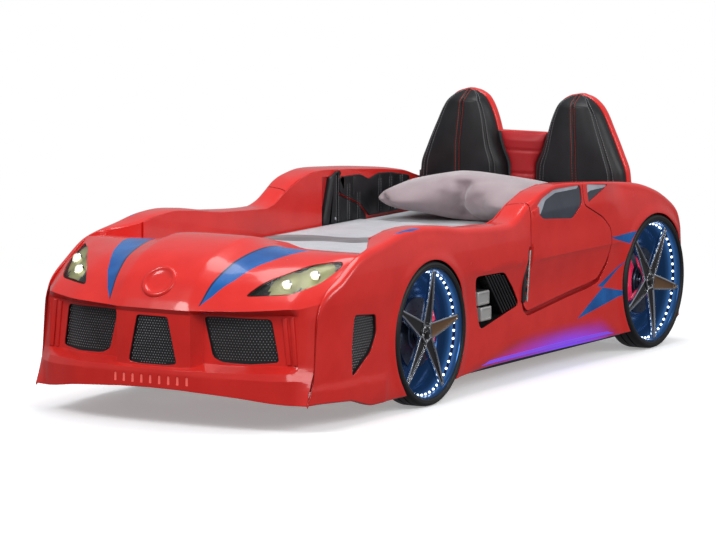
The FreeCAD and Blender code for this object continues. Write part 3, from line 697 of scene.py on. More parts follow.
@dataclass(frozen=True)
class Finish:
    """A procedural finish. Colours are linear RGB.

    Attributes:
        name: the material's name.
        color: base colour.
        second: colour that it varies towards.
        glow: name of the point attribute that scales the light it gives off; this is painted light,
            which stands in for light that a nearby lamp casts on the piece.
        dimmed: base colour where that attribute is 1.
        edge: radius in metres that the shading rounds sharp edges to.
    """

    name: str
    color: tuple[float, float, float]
    second: tuple[float, float, float] | None = None
    scale: float = 120.0
    depth: float = 0.15
    texture: Texture = Texture.MOULDED
    roughness: float = 0.4
    spread: float = 0.08
    metallic: float = 0.0
    coat: float = 0.0
    gloss: float = 0.5
    sheen: float = 0.0
    alpha: float = 1.0
    light: tuple[float, float, float] = (1.0, 1.0, 1.0)
    strength: float = 0.0
    glow: str = ""
    dimmed: tuple[float, float, float] | None = None
    edge: float = 0.0

    def build(self) -> bpy.types.Material:
        """Makes the material, or finds it if it is made already.

        Returns:
            The material.
        """
        known = bpy.data.materials.get(self.name)
        if known:
            return known
        mat = bpy.data.materials.new(self.name)
        mat.use_nodes = True
        made = Shading(mat.node_tree)
        shader = mat.node_tree.nodes["Principled BSDF"]
        where = made.add("TexCoord", "Object")
        cloud = made.add("TexNoise", "Fac", {"Scale": 9.0, "Detail": 3.0, "Vector": where})
        rough = made.add("MapRange", "Result", {
            "To Min": max(0.02, self.roughness - self.spread),
            "To Max": min(1.0, self.roughness + self.spread), "Value": cloud})
        made.put(shader, {
            "Base Color": (*self.color, 1), "Roughness": rough, "Metallic": self.metallic,
            "Coat Weight": self.coat, "Coat Roughness": 0.04, "Specular IOR Level": self.gloss,
            "Sheen Weight": self.sheen, "Sheen Roughness": 0.4, "Alpha": self.alpha})
        if self.second:
            made.put(shader, {"Base Color": self.base(made, where, cloud)})
        if self.strength:
            made.put(shader, {"Emission Color": (*self.light, 1),
                              "Emission Strength": self.strength})
        # painted light: the finish gives off light where its point attribute says, standing in for a
        # nearby lamp's light
        if self.strength and self.glow:
            lit = made.add("Attribute", "Fac", attribute_name=self.glow)
            made.put(shader, {"Emission Strength": made.add(
                "Math", "Value", {0: lit, 1: self.strength}, operation="MULTIPLY")})
        self.relief(made, where, shader)
        return mat

    def base(self, made: Shading, where: Socket, cloud: Socket) -> Socket:
        """The base colour: a blend of two, and darker where the painted light is.

        Args:
            made: the material's nodes.
            where: the place on the piece.
            cloud: slow noise.

        Returns:
            The colour.
        """
        color = made.add("Mix", "Result", {
            "A": (*self.color, 1), "B": (*self.second, 1),
            "Factor": self.blend(made, where, cloud)}, data_type="RGBA")
        if self.glow and self.dimmed:
            lit = made.add("Attribute", "Fac", attribute_name=self.glow)
            color = made.add("Mix", "Result", {"A": color, "B": (*self.dimmed, 1),
                                               "Factor": lit}, data_type="RGBA")
        return color

    def blend(self, made: Shading, where: Socket, cloud: Socket) -> Socket:
        """The mask between the two colours: year rings or slow noise.

        Args:
            made: the material's nodes.
            where: the place on the piece.
            cloud: slow noise.

        Returns:
            The mask.
        """
        if self.texture is Texture.GRAIN:
            return made.add("TexWave", "Fac", {"Scale": 6.0, "Distortion": 6.0, "Detail": 3.0,
                                               "Vector": where}, wave_type="RINGS")
        return made.add("MapRange", "Result", {"From Min": 0.3, "From Max": 0.7, "Value": cloud})

    def relief(self, made: Shading, where: Socket, shader: bpy.types.Node) -> None:
        """Adds the fine surface: moulding, leather, knit or grain, over eased edges.

        Args:
            made: the material's nodes.
            where: the place on the piece.
            shader: the shader that gets it.
        """
        normal = None
        if self.edge:
            normal = made.add("Bevel", "Normal", {"Radius": self.edge}, samples=4)
        if self.texture is not Texture.SMOOTH:
            values = {"Strength": self.depth, "Distance": MM, "Height": self.height(made, where)}
            if normal:
                values["Normal"] = normal
            normal = made.add("Bump", "Normal", values)
        if normal:
            made.put(shader, {"Normal": normal})
            if self.edge and self.coat:
                made.put(shader, {"Coat Normal": normal})

    def height(self, made: Shading, where: Socket) -> Socket:
        """The height pattern of the texture.

        Args:
            made: the material's nodes.
            where: the place on the piece.

        Returns:
            The height.
        """
        if self.texture is Texture.LEATHER:
            return made.add("TexVoronoi", "Distance", {"Scale": self.scale, "Vector": where},
                            feature="DISTANCE_TO_EDGE")
        if self.texture is Texture.KNIT:
            waves = [made.add("TexWave", "Fac", {"Scale": self.scale, "Distortion": 1.2,
                                                 "Detail": 1.0, "Vector": where},
                              bands_direction=way) for way in ("X", "Y")]
            return made.add("Math", "Value", dict(enumerate(waves)), operation="MULTIPLY")
        if self.texture is Texture.BRUSHED:
            where = made.add("Mapping", "Vector", {"Scale": (1.0, 1.0, 30.0), "Vector": where})
        return made.add("TexNoise", "Fac", {"Scale": self.scale, "Detail": 4.0, "Vector": where})


RED = Finish("gloss red body", (0.66, 0.026, 0.02), (0.60, 0.02, 0.016), 60.0, 0.02, roughness=0.26,
             spread=0.03, coat=0.3, gloss=0.25, edge=0.0025)
# painted light: the violet light of the sill strip, painted as a glow on the lower flank of the red
# shell
RED_PAINTED_SILL_LIGHT = Finish("gloss red body, painted sill light", RED.color, RED.second, 60.0, 0.02, roughness=0.26,
                  spread=0.03, coat=0.3, gloss=0.25, edge=0.0025, light=(0.14, 0.045, 0.72),
                  strength=1.0, glow="glow", dimmed=(0.09, 0.02, 0.2))
BLUE = Finish("blue stripe", (0.010, 0.12, 0.40), (0.004, 0.06, 0.24), 60.0, 0.02, roughness=0.28,
              spread=0.03, coat=0.25, gloss=0.25)
NAVY = Finish("dark stripe edge", (0.01, 0.02, 0.06), (0.02, 0.03, 0.08), 60.0, 0.02, roughness=0.3,
              coat=0.2, gloss=0.25)
# partly painted shade: the boards' own red, made darker than the body so that it reads as shade
# where it shows in the door gap
RED_BOARD_AND_SHADE = Finish("red board, darker as painted shade", (0.45, 0.018, 0.018), (0.38, 0.014, 0.014), 90.0, 0.04,
                   roughness=0.35, coat=0.2, gloss=0.25, edge=0.002)
BLACK = Finish("gloss black trim", (0.006, 0.006, 0.007), (0.01, 0.01, 0.011), 150.0, 0.05,
               roughness=0.22, coat=0.2, gloss=0.3, edge=0.001)
MATT = Finish("matt black trim", (0.02, 0.02, 0.022), (0.03, 0.03, 0.032), 400.0, 0.25,
              roughness=0.6, gloss=0.25)
# painted highlight: the studs' grey stands in for the glints that the mesh's cells catch; their
# domes are real shape
STUD_PAINTED_GLINT = Finish("grey stud, painted glint", (0.20, 0.20, 0.21), (0.26, 0.26, 0.27), roughness=0.25, coat=0.3,
              texture=Texture.SMOOTH)
MESH = Finish("black mesh backing", (0.006, 0.006, 0.007), (0.01, 0.01, 0.011), 500.0, 0.2,
              roughness=0.4, coat=0.3)
TYRE = Finish("tyre black", (0.008, 0.008, 0.009), (0.014, 0.014, 0.015), 500.0, 0.2, roughness=0.5,
              spread=0.1, gloss=0.3)
CHROME = Finish("chrome", (0.72, 0.74, 0.78), (0.62, 0.64, 0.68), 40.0, 0.03, Texture.BRUSHED,
                roughness=0.12, metallic=1.0, edge=0.0008)
# painted light: the blue light of the bead ring, painted as a glow on the chrome dish
CHROME_PAINTED_BLUE_LIGHT = Finish("chrome, painted blue light", (0.025, 0.07, 0.18), (0.004, 0.012, 0.04), 40.0, 0.05,
                     Texture.BRUSHED, roughness=0.16, metallic=1.0, light=(0.09, 0.30, 0.80),
                     strength=0.42, glow="glow")
DISC = Finish("dark machined steel", (0.10, 0.12, 0.17), (0.06, 0.07, 0.11), 40.0, 0.1,
              Texture.BRUSHED, roughness=0.3, metallic=0.9)
BRONZE = Finish("bronze inlay", (0.30, 0.17, 0.09), (0.22, 0.12, 0.06), 60.0, 0.1, Texture.BRUSHED,
                roughness=0.35, metallic=0.8)
# painted light: the caliper gives off a red glow although it is no lamp
CALIPER_PAINTED_GLOW = Finish("caliper red, painted glow", (0.75, 0.02, 0.05), (0.6, 0.015, 0.04), 120.0, 0.06, roughness=0.3,
                 coat=0.5, light=(0.9, 0.02, 0.12), strength=0.35, edge=0.0015)
SILVER = Finish("silver trim", (0.50, 0.49, 0.47), (0.40, 0.39, 0.38), 90.0, 0.03, roughness=0.3,
                metallic=0.35, edge=0.0015)
STEEL = Finish("zinc-plated steel", (0.62, 0.62, 0.6), (0.5, 0.5, 0.48), 80.0, 0.15,
               Texture.BRUSHED, roughness=0.32, metallic=1.0)
LED = Finish("light bead", (0.85, 0.92, 1.0), (0.9, 0.95, 1.0), roughness=0.2,
             light=(0.72, 0.87, 1.0), strength=3.2, texture=Texture.SMOOTH)
VIOLET = Finish("violet light strip", (0.10, 0.04, 0.30), (0.08, 0.03, 0.25), roughness=0.3,
                light=(0.25, 0.07, 0.9), strength=0.55, texture=Texture.SMOOTH)
LENS = Finish("clear lens", (0.04, 0.045, 0.04), (0.03, 0.035, 0.03), roughness=0.08, spread=0.02,
              coat=0.3, gloss=0.4, alpha=0.12, texture=Texture.SMOOTH)
# painted light: the glow of the bulbs, painted on the reflector around each lamp
REFLECTOR_PAINTED_GLOW = Finish("lamp reflector, painted lamp glow", (0.17, 0.17, 0.07), (0.27, 0.27, 0.12), 50.0, 0.1,
                   Texture.BRUSHED, roughness=0.35, metallic=0.3, light=(0.80, 0.80, 0.36),
                   strength=0.22, glow="glow")
BULB = Finish("lamp bulb", (1.0, 0.96, 0.8), (1.0, 0.94, 0.75), roughness=0.3,
              light=(1.0, 0.97, 0.70), strength=1.5, texture=Texture.SMOOTH)
SMOKED = Finish("dark window", (0.03, 0.034, 0.048), (0.042, 0.048, 0.064), 40.0, 0.01,
                roughness=0.2, coat=0.3, gloss=0.3)
# painted reflection: a pale band of reflected light painted across the windows
WINDOW_PAINTED_REFLECTION = Finish("window's pale band, painted reflection", (0.46, 0.47, 0.52), (0.24, 0.25, 0.30), 40.0, 0.01,
             roughness=0.25, coat=0.3)
LEATHER = Finish("black leatherette", (0.007, 0.007, 0.008), (0.012, 0.012, 0.014), 420.0, 0.3,
                 Texture.LEATHER, roughness=0.42, spread=0.08, gloss=0.35)
LEATHER_RED = Finish("red leatherette", (0.42, 0.016, 0.02), (0.34, 0.012, 0.016), 420.0, 0.3,
                     Texture.LEATHER, roughness=0.42, gloss=0.35)
THREAD = Finish("red thread", (0.62, 0.06, 0.03), (0.5, 0.04, 0.02), 2000.0, 0.3, Texture.VELVET,
                roughness=0.8)
THREAD_GREY = Finish("grey thread", (0.25, 0.25, 0.26), (0.2, 0.2, 0.21), 2000.0, 0.3,
                     Texture.VELVET, roughness=0.8)
KNIT = Finish("mattress knit", (0.60, 0.61, 0.64), (0.54, 0.55, 0.58), 160.0, 0.5, Texture.KNIT,
              roughness=0.85, spread=0.05, sheen=0.3)
COVER = Finish("light grey cover", (0.44, 0.45, 0.48), (0.38, 0.39, 0.42), 240.0, 0.45,
               Texture.KNIT, roughness=0.9, spread=0.05, sheen=0.35)
HEM = Finish("dark grey band", (0.07, 0.07, 0.078), (0.11, 0.11, 0.12), 260.0, 0.6, Texture.VELVET,
             roughness=0.95, spread=0.04, sheen=0.3)
VELVET = Finish("mauve-grey velvet", (0.30, 0.235, 0.25), (0.37, 0.30, 0.315), 700.0, 0.5,
                Texture.VELVET, roughness=0.75, spread=0.1, sheen=0.6)
PINE = Finish("pine", (0.62, 0.42, 0.22), (0.50, 0.32, 0.15), 90.0, 0.12, Texture.GRAIN,
              roughness=0.55, edge=0.0015)
LAMINATE = Finish("black laminate", (0.03, 0.03, 0.032), (0.045, 0.045, 0.048), 300.0, 0.15,
                  roughness=0.5, edge=0.001)
# painted light: the pale red inserts in the lip slots give off a glow although they are no lamps
LIP_PAINTED_GLOW = Finish("pale red insert, painted glow", (0.85, 0.16, 0.13), (0.80, 0.12, 0.1), 90.0, 0.04,
                   roughness=0.3, coat=0.5, light=(0.9, 0.12, 0.1), strength=0.25)

Finishes = Finish | Sequence[Finish]


# ---- pieces
def piece(name: str, bm: Mesh, finishes: Finishes, body: str = "bed",
          crease: float = 32.0, wall: float = 0.0) -> bpy.types.Object:
    """Turns a mesh into a finished piece that rides on a body.

    A piece that has the name of a frame node stands for that node.

    Args:
        name: the piece's name.
        bm: its mesh, which is used up.
        finishes: one finish, or one for each face group.
        body: the body that it rides on.
        crease: faces that meet at more than this many degrees stay sharp.
        wall: thickness to give an open surface, inwards, in metres.

    Returns:
        The new object.
    """
    mesh = bpy.data.meshes.new(name)
    bm.to_mesh(mesh)
    bm.free()
    obj = bpy.data.objects.new(name, mesh)
    bpy.context.scene.collection.objects.link(obj)
    for finish in [finishes] if isinstance(finishes, Finish) else finishes:
        mesh.materials.append(finish.build())
    if wall:
        thick = obj.modifiers.new("wall", "SOLIDIFY")
        thick.thickness = wall
        thick.offset = -1.0
        obj = apply_modifiers(obj)
        mesh = obj.data
    mesh.shade_smooth()
    mesh.set_sharp_from_angle(angle=math.radians(crease))
    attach(obj, body)
    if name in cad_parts:
        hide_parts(name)
    log.info("%s: %d faces on %s", name, len(mesh.polygons), body)
    return obj


def apply_modifiers(obj: bpy.types.Object) -> bpy.types.Object:
    """Replaces an object's mesh by what its modifiers make of it.

    Args:
        obj: the object.

    Returns:
        The same object.
    """
    bpy.context.view_layer.update()
    graph = bpy.context.evaluated_depsgraph_get()
    made = bpy.data.meshes.new_from_object(obj.evaluated_get(graph))
    old = obj.data
    obj.modifiers.clear()
    obj.data = made
    bpy.data.meshes.remove(old)
    return obj


def pair(name: str, bm: Mesh, finishes: Finishes, door: bool = False,
         crease: float = 32.0, wall: float = 0.0) -> list[bpy.types.Object]:
    """Makes a right-hand piece and its mirror image.

    Args:
        name: the pieces' name, without the side.
        bm: the right-hand mesh, which is used up.
        finishes: as in `piece`, like crease and wall.
        door: whether each rides on its side's door.
        crease: the angle that stays sharp.
        wall: thickness to give an open surface.

    Returns:
        Both pieces, the right one first.
    """
    made = []
    for side, mesh in zip(Side, (bm, mirrored(bm))):
        body = f"door_{side.word}" if door else "bed"
        made.append(piece(f"{name}_{side.word}", mesh, finishes, body, crease, wall))
    return made


def dress(finish: Finish, *names: str) -> None:
    """Gives carried-over frame nodes a finish.

    Args:
        finish: the finish.
        names: the nodes' names.
    """
    for name in names:
        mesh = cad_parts[name].data
        mesh.materials.clear()
        mesh.materials.append(finish.build())
        log.info("%s: frame node in %s", name, finish.name)


# ---- moulded sides
@dataclass(frozen=True)
class BodySide:
    """The right-hand side moulding as one surface, and the openings that are cut in it.

    Attributes:
        plan: how far the flank stands in from the widest place, by y.
        low: how far it stands in below the belt crease, by z.
        high: how far it stands in above the belt crease, by z.
        waist: the flank's hollow below the belt, by z.
        share: how much of that hollow there is, by y.
        top: height of the crest, by y.
        sill: height of the lower edge, by y.
        corner: how far the doorway's corners are eased, in metres.
        gap: half the gap line round the door, in metres.
        jamb: depth of the channel behind that line, in metres.
    """

    plan: Track = Track([(-1377, 36), (-1315, 34), (-1160, 12), (-888, 2), (-568, 0), (-248, 5),
                         (190, 10), (518, 12), (846, 5), (1208, 0), (1408, 8), (1535, 30)])
    low: Track = Track([(30, 16), (92, 6), (328, 6), (438, 0)])
    high: Track = Track([(438, 0), (452, 0.4), (518, 5), (598, 18), (641, 34), (717, 58)])
    waist: Track = Track([(92, 0), (194, 6), (328, 14), (438, 0)])
    share: Track = Track([(-568, 0), (-248, 0.5), (190, 1), (518, 1), (846, 0.5), (1208, 0)])
    top: Track = Track([(-1377, 98), (-1336, 186), (-1310, 397), (-1276, 455), (-1165, 518),
                        (-1031, 583), (-838, 615), (-698, 637), (-608, 641), (-448, 629),
                        (-268, 606), (60, 588), (120, 600), (215, 645), (330, 682), (452, 697),
                        (670, 685), (916, 665), (1118, 642), (1248, 609), (1360, 561),
                        (1423, 519), (1465, 413), (1505, 156)])
    sill: Track = Track([(-1377, 98), (-1136, 88), (-963, 54), (-568, 60), (-268, 78), (-8, 84),
                         (788, 80), (1108, 88), (1328, 92), (1505, 96)])
    door: tuple[Point, ...] = ((235.7, 757), (642, 757), (638, 604), (786, 544), (842, 498),
                               (846, 434), (824, 372), (762, 314), (676, 300), (202, 250),
                               (178.6, 274))
    doorway: tuple[Point, ...] = ((234.2, 757), (643.5, 757), (639.5, 605), (787, 545.4),
                                  (843.5, 499), (848, 434), (830, 362), (768, 300), (680, 284),
                                  (199, 233), (165, 266), (180, 418), (195.5, 440))
    window: tuple[Point, ...] = ((250, 623), (306, 657), (410, 682), (623, 680), (624, 612),
                                 (548, 562), (302, 583))
    quarter: tuple[Point, ...] = ((672, 678), (842, 662), (768, 640), (672, 610))
    leaf: tuple[Point, ...] = ((541, -772), (552, -748), (560, -665), (558, -600), (548, -665))
    vent: tuple[Point, ...] = ((-1100, 384), (-960, 372), (-952, 310), (-990, 244), (-1110, 168),
                               (-1114, 270))
    scoop: tuple[Point, ...] = ((-221, 402), (-217, 424), (7, 418), (101, 343), (145, 284),
                                (-181, 226))
    corner: float = 0.022
    gap: float = 0.0025
    jamb: float = 0.019
    wedges: tuple[tuple[Point, ...], ...] = (
        ((837, 462), (1048, 469), (990, 425)),
        ((596, 178), (991, 371), (758, 285), (994, 241)))
    stations: tuple[tuple[float, float, int], ...] = (
        (-1374.5, -1300, 22), (-1300, -1040, 36), (-1040, -781, 26), (-781, -777, 1),
        (-777, 60, 84), (60, 150, 11), (150, 232, 41), (232, 500, 31), (500, 900, 44),
        (900, 1400, 56), (1400, 1505, 30))

    def columns(self) -> list[float]:
        """Places along the bed at which the surface has its points.

        Returns:
            Their y in millimetres, in rising order.
        """
        made = []
        for a, b, n in self.stations:
            made += [a + (b - a) * k / n for k in range(n)]
        return [*made, self.stations[-1][1]]

    def flank(self, y: float, z: float) -> float:
        """Outer x at a place on the flank.

        Args:
            y: how far along the bed.
            z: the height.

        Returns:
            x in millimetres.
        """
        lean = 1 - 0.64 * step_up(y, 150, 270) * step_up(y, 1000, 780) * step_up(z, 500, 600)
        level = self.low(z) if z < S.belt else self.high(z) * lean
        x = S.wide - self.plan(y) - level - self.waist(z) * self.share(y)
        for axle in (S.axle_front, S.axle_rear):
            away = math.hypot(y - axle, z - S.axle_z)
            x += 5.0 * step_up(away, S.arch_r + 34, S.arch_r + 8)
        x += 5.0 * step_up(158 - z, 0, 12) * step_up(-858 - y, 0, 40) * step_up(y, -1370, -1330)
        line = S.hinge_y + (z - S.hinge_z) * S.rake
        groove = step_up(abs(y - line - 4), 21, 13) * step_up(z, 282, 290) * step_up(z, 490, 482)
        ledge = 4.4 - 2.1 * step_up(y, 120, 180) * step_up(y, 905, 850)
        x -= ledge * step_up(z, S.belt - 1, S.belt - 7) * step_up(z, 345, 420) * (
            step_up(y, -330, -200) * step_up(y, 1000, 860))
        x = min(x, S.wide - 0.4)
        x -= max(0.0, x - 557) * groove
        bend = 96 + 62 * step_up(y, -330, 180) * step_up(y, 1000, 640)
        x -= 9 * step_up(bend - z, 0, 34) * step_up(y, -330, -200) * step_up(y, 960, 880)
        tail = max(0.0, (y - (S.tail - 46)) / 46)
        return x - (x - S.shell_x) * (1 - math.sqrt(max(0.0, 1 - tail * tail)))

    @staticmethod
    def raked(y: float, z: float) -> float:
        """Where a column of points runs at a height: beside the hinge it leans with the hinge."""
        near = step_up(y, 60, 150) * step_up(y, 340, 240)
        return y + (z - S.hinge_z) * S.rake * near * step_up(z, 200, 270) * step_up(z, 570, 500)

    def hood_edge(self, y: float) -> float:
        """Height of the hood where it runs along the wing."""
        return 582 - 26 * (y + 1031) / 227.5

    def section(self, y: float) -> list[Point]:
        """The surface's cut at a place along the bed.

        Args:
            y: how far along the bed.

        Returns:
            (x, z) in millimetres, from its lower edge up and over.
        """
        low, top = self.sill(y), self.top(y)
        crest = min(26.0 - 17.0 * step_up(y, 180, 330) * step_up(y, 1060, 880),
                    0.2 * (top - low) + 1.0)
        inner = S.hood_x + 0.7 - (S.hood_x - S.shell_x + 0.3) * step_up(y, -1010, S.wing_step)
        inner = min(inner, self.flank(y, low) - 0.5)
        high = top - crest
        belt = min(S.belt, low + 0.62 * (high - low))
        foot = self.flank(y, low + 3)
        line = [(max(inner, foot - 22), low + 1), (max(inner, foot - 5), low)]
        rows = [low + 3 + (belt - 7 - low - 3) * k / 19 for k in range(20)]
        rows += [belt + (high - belt) * k / 14 for k in range(15)]
        line += [(max(inner, self.flank(self.raked(y, z), z)), z) for z in rows]
        shoulder = max(inner, self.flank(y, high))
        round_x = min(crest, max(0.0, shoulder - inner))
        for k in range(1, 8):
            turn = k / 7 * math.pi / 2
            line.append((shoulder - round_x * (1 - math.cos(turn)), high + crest * math.sin(turn)))
        start = shoulder - round_x
        fall = 4.0 * step_up(y, -1031, -900)
        for k in range(1, 7):
            t = k / 6
            line.append((start + (inner - start) * t, top - fall * t ** 2 - 3 * (t == 1)))
        base = top - 34
        if y < S.wing_step + 6:
            base = self.hood_edge(y) - 26 if y > -1031 else top - 12
        for k in range(1, 4):
            line.append((inner, top - fall - 3 + (base - top + fall + 3) * k / 3))
        return line

    def surface(self) -> Mesh:
        """The uncut side surface, with how strongly the violet sill light is painted on at each
        point.

        Returns:
            The surface.
        """
        columns = self.columns()
        sections = [self.section(y) for y in columns]
        bm = grid(len(columns), len(sections[0]), lambda i, j: Vector(
            (sections[i][j][0], self.raked(columns[i], sections[i][j][1]),
             sections[i][j][1])) * MM)
        bmesh.ops.remove_doubles(bm, verts=list(bm.verts), dist=2e-6)
        facing(bm, 0, lambda c: (c - Vector((0.58, 0, 0.3))).length)
        # painted light: the sill strip's violet light, painted strongest low down between the wheels
        layer = bm.verts.layers.float.new("glow")
        for v in bm.verts:
            y, z = v.co.y / MM, v.co.z / MM
            along = step_up(y, -300, 250) * step_up(y, 960, 760)
            v[layer] = along * step_up(z, 92 + 78 * along, 84) * (
                0.35 + 0.65 * bump(y, 520, 260))
        return bm

    def build(self) -> None:
        """Cuts the surface into shell, door, panes and trays, and finishes each."""
        bm = self.surface()
        for wedge in self.wedges:
            for face in knife(bm, metres(wedge), want=lambda c: c.x > 0.52):
                face.material_index = 1
        for face in knife(bm, metres(self.leaf), Along.Z, want=lambda c: c.z > 0.59):
            face.material_index = 1
        for axle in (S.axle_front, S.axle_rear):
            ring = metres(ring_outline(axle, S.axle_z, S.arch_r))
            bmesh.ops.delete(bm, geom=knife(bm, ring, want=lambda c: c.x > 0.47), context="FACES")
        across = {"shear": 0.13, "origin": S.hinge_x * MM, "want": lambda c: c.x > 0.46}
        outline = rounded(metres(self.door), self.corner)
        zone = split_off(bm, knife(bm, rounded(metres(self.doorway), self.corner), **across))
        skin = split_off(zone, knife(zone, grown(outline, -self.gap), **across))
        bmesh.ops.delete(zone, geom=knife(zone, grown(outline, -0.0005), **across),
                         context="FACES")
        bmesh.ops.delete(zone, geom=[f for f in zone.faces if f.calc_center_median().z > 0.56],
                         context="FACES")
        # painted shade: the channel behind the door gap takes the darker red
        pair("door_jamb", self.tray(zone, self.jamb), RED_BOARD_AND_SHADE, crease=30)
        # painted shade: a matt black strip beside the hinge stands in for the dark shade of the slot
        # there
        lean = Matrix.Rotation(-math.atan(S.rake), 4, "X")
        place = Matrix.Translation(Vector((564.5, S.hinge_y - 12, S.hinge_z)) * MM) @ lean
        pair("hinge_shade_strip", block(Vector((0.012, 0.0156, 0.196)), place, 0.003), MATT)
        self.panes(bm, skin)
        vent = self.opening(bm, self.vent, 0.016)
        scoop = self.opening(bm, self.scoop, 0.03)
        pair("side_shell", bm, (RED_PAINTED_SILL_LIGHT, BLUE), crease=26, wall=WALL)
        pair("door_skin", skin, (RED, BLUE), door=True, crease=26, wall=WALL)
        self.vents(vent)
        self.scoops(scoop)

    def opening(self, bm: Mesh, outline: Outline, easing: float) -> Mesh:
        """Cuts an outline out of a surface.

        Args:
            bm: the surface.
            outline: what to cut, in millimetres.
            easing: how far its corners are rounded, in metres.

        Returns:
            What was cut out.
        """
        shape = rounded(metres(outline), easing)
        return split_off(bm, knife(bm, shape, want=lambda c: c.x > 0.5))

    def panes(self, shell: Mesh, skin: Mesh) -> None:
        """The dark door window with a pale band painted on as a reflection, and the quarter pane
        behind it.

        Args:
            shell: the shell, which loses the quarter pane.
            skin: the door's skin, which loses the window.
        """
        window = self.opening(skin, self.window, 0.02)
        quarter = self.opening(shell, self.quarter, 0.01)
        # painted reflection: the pale band across the top of the door window
        band = metres([(236, 610), (300, 668), (405, 690), (625, 690), (600, 668), (424, 668),
                       (340, 648), (290, 600)])
        for face in knife(window, rounded(band, 0.01), want=lambda c: c.x > 0.5):
            face.material_index = 1
        # painted reflection: the pale upper part of the quarter pane
        upper = metres([(660, 690), (830, 680), (830, 655), (700, 652), (660, 640)])
        for face in knife(quarter, upper, want=lambda c: c.x > 0.5):
            face.material_index = 1
        place = Matrix.Translation((0.5615, 0.262, 0.596)) @ Matrix.Rotation(0.25, 4, "X")
        stub = block(Vector((0.020, 0.050, 0.064)), place, 0.006)
        pair("door_stub", stub, RED, door=True, crease=50)
        for part in (window, quarter):
            shift(part, -0.003, 0, 0)
        pair("door_window", window, (SMOKED, WINDOW_PAINTED_REFLECTION), door=True, wall=0.003)
        join(quarter, mirrored(quarter))
        piece("quarter_windows", quarter, (SMOKED, WINDOW_PAINTED_REFLECTION), wall=0.003)

    @staticmethod
    def tray(cut: Mesh, depth: float) -> Mesh:
        """A cut-out surface pushed inwards, with the walls that this leaves.

        Args:
            cut: the cut-out surface.
            depth: how far it is pushed, in metres.

        Returns:
            The same mesh.
        """
        lid = list(cut.faces)
        moved = of_kind(bmesh.ops.extrude_face_region(cut, geom=lid), bmesh.types.BMVert)
        bmesh.ops.translate(cut, verts=moved, vec=(-depth, 0, 0))
        bmesh.ops.delete(cut, geom=[f for f in lid if f.is_valid], context="FACES")
        facing(cut, 0, lambda c: c.x)
        return shift(cut, -0.0036, 0, 0)

    def vents(self, cut: Mesh) -> None:
        """The dotted mesh in each front corner.

        Args:
            cut: what was cut out there.
        """
        tree = BVHTree.FromBMesh(cut)
        outline = grown(rounded(metres(self.vent), 0.016), -0.006)
        studs = dots(outline, 0.0022, lambda a, b: tree.ray_cast(
            Vector((0.7, a, b)), Vector((-1, 0, 0)))[0], Vector((-0.0115, 0, 0)))
        # painted highlight: the studs' grey stands in for the glints in the mesh
        both = join(self.tray(cut, 0.009), painted(studs, 1))
        join(both, mirrored(both))
        piece("corner_vents", both, (MESH, STUD_PAINTED_GLINT))

    def scoops(self, cut: Mesh) -> None:
        """The scoop behind each front wheel, with its ribs, and the twin pipes.

        Args:
            cut: what was cut out there.
        """
        tray = self.tray(cut, 0.052)
        room = grown(rounded(metres(self.scoop), 0.03), -0.004)
        turn = Matrix.Rotation(math.radians(42), 4, "X")
        run = turn @ Vector((0, 0, 1))
        ribs = []
        for k in range(7):
            mid = Vector((0.546, -0.062 + 0.024 * k, 0.352 - 0.004 * k))
            inner = [t / 500 for t in range(-90, 90)
                     if inside(room, *(mid + run * t / 500).yz)]
            if inner:
                length = max(0.01, inner[-1] - inner[0])
                place = Matrix.Translation(mid + run * (inner[0] + inner[-1]) / 2) @ turn
                ribs.append(block(Vector((0.036, 0.009, length)), place, 0.003))
        pair("scoop_tray", join(painted(tray, 0), painted(join(*ribs), 1)), (MESH, BLACK))
        pipes = join(self.pipe(-199, 340, 88), self.pipe(-175, 281, 80))
        pair("twin_pipes", pipes, (SILVER, MATT))

    @staticmethod
    def pipe(start: float, z: float, length: float) -> Mesh:
        """One box pipe with a sunk dark mouth.

        Args:
            start: y of its front end, in millimetres.
            z: its middle's height.
            length: how long it is.

        Returns:
            The pipe.
        """
        bm = span_box((502, 575.5), (start, start + length), (z - 25.5, z + 25.5), 5)
        face = max(bm.faces, key=lambda f: (round(f.normal.x, 2), f.calc_area()))
        bmesh.ops.inset_region(bm, faces=[face], thickness=0.005, depth=0.0)
        bmesh.ops.inset_region(bm, faces=[face], thickness=0.001, depth=-0.003)
        top = max(bm.faces, key=lambda f: (round(f.normal.z, 2), f.calc_area()))
        top.material_index = 1
        return bm


def dots(outline: Outline, radius: float, put: Callable[[float, float], Vector | None],
         moved: Vector) -> Mesh:
    """Small studs on a staggered raster in an outline.

    Args:
        outline: where there are studs, in metres.
        radius: each stud's radius.
        put: gives the place on the surface for outline coordinates, or None.
        moved: how far every stud stands from there.

    Returns:
        The studs as one mesh.
    """
    bm = bmesh.new()
    a0, a1 = min(p[0] for p in outline), max(p[0] for p in outline)
    b0, b1 = min(p[1] for p in outline), max(p[1] for p in outline)
    rise = STUD_PITCH * 0.866
    for j in range(int((b1 - b0) / rise) + 1):
        for i in range(int((a1 - a0) / STUD_PITCH) + 2):
            a, b = a0 + (i + 0.5 * (j % 2)) * STUD_PITCH, b0 + j * rise
            p = put(a, b) if inside(outline, a, b) else None
            if p is not None:
                ball(bm, Matrix.Translation(p + moved), radius)
    return bm


# ---- nose and hood
@dataclass(frozen=True)
class NoseStation:
    """The front moulding's line at one x: (distance behind the nose, height) from hood to lip."""

    x: float
    line: tuple[Point, ...]

    def points(self) -> list[Vector]:
        """The line's points in the frame.

        Returns:
            The points in millimetres, with the raised middle wider at its foot.
        """
        spread = {148: -10.0, 170: 18.0}.get(round(self.x), 0.0)
        share = (1, 1, 1, 1, 0.9, 0.6, 0, 0, 0, 0, 0)
        return [Vector((self.x + spread * part, S.nose + back, z))
                for (back, z), part in zip(self.line, share)]


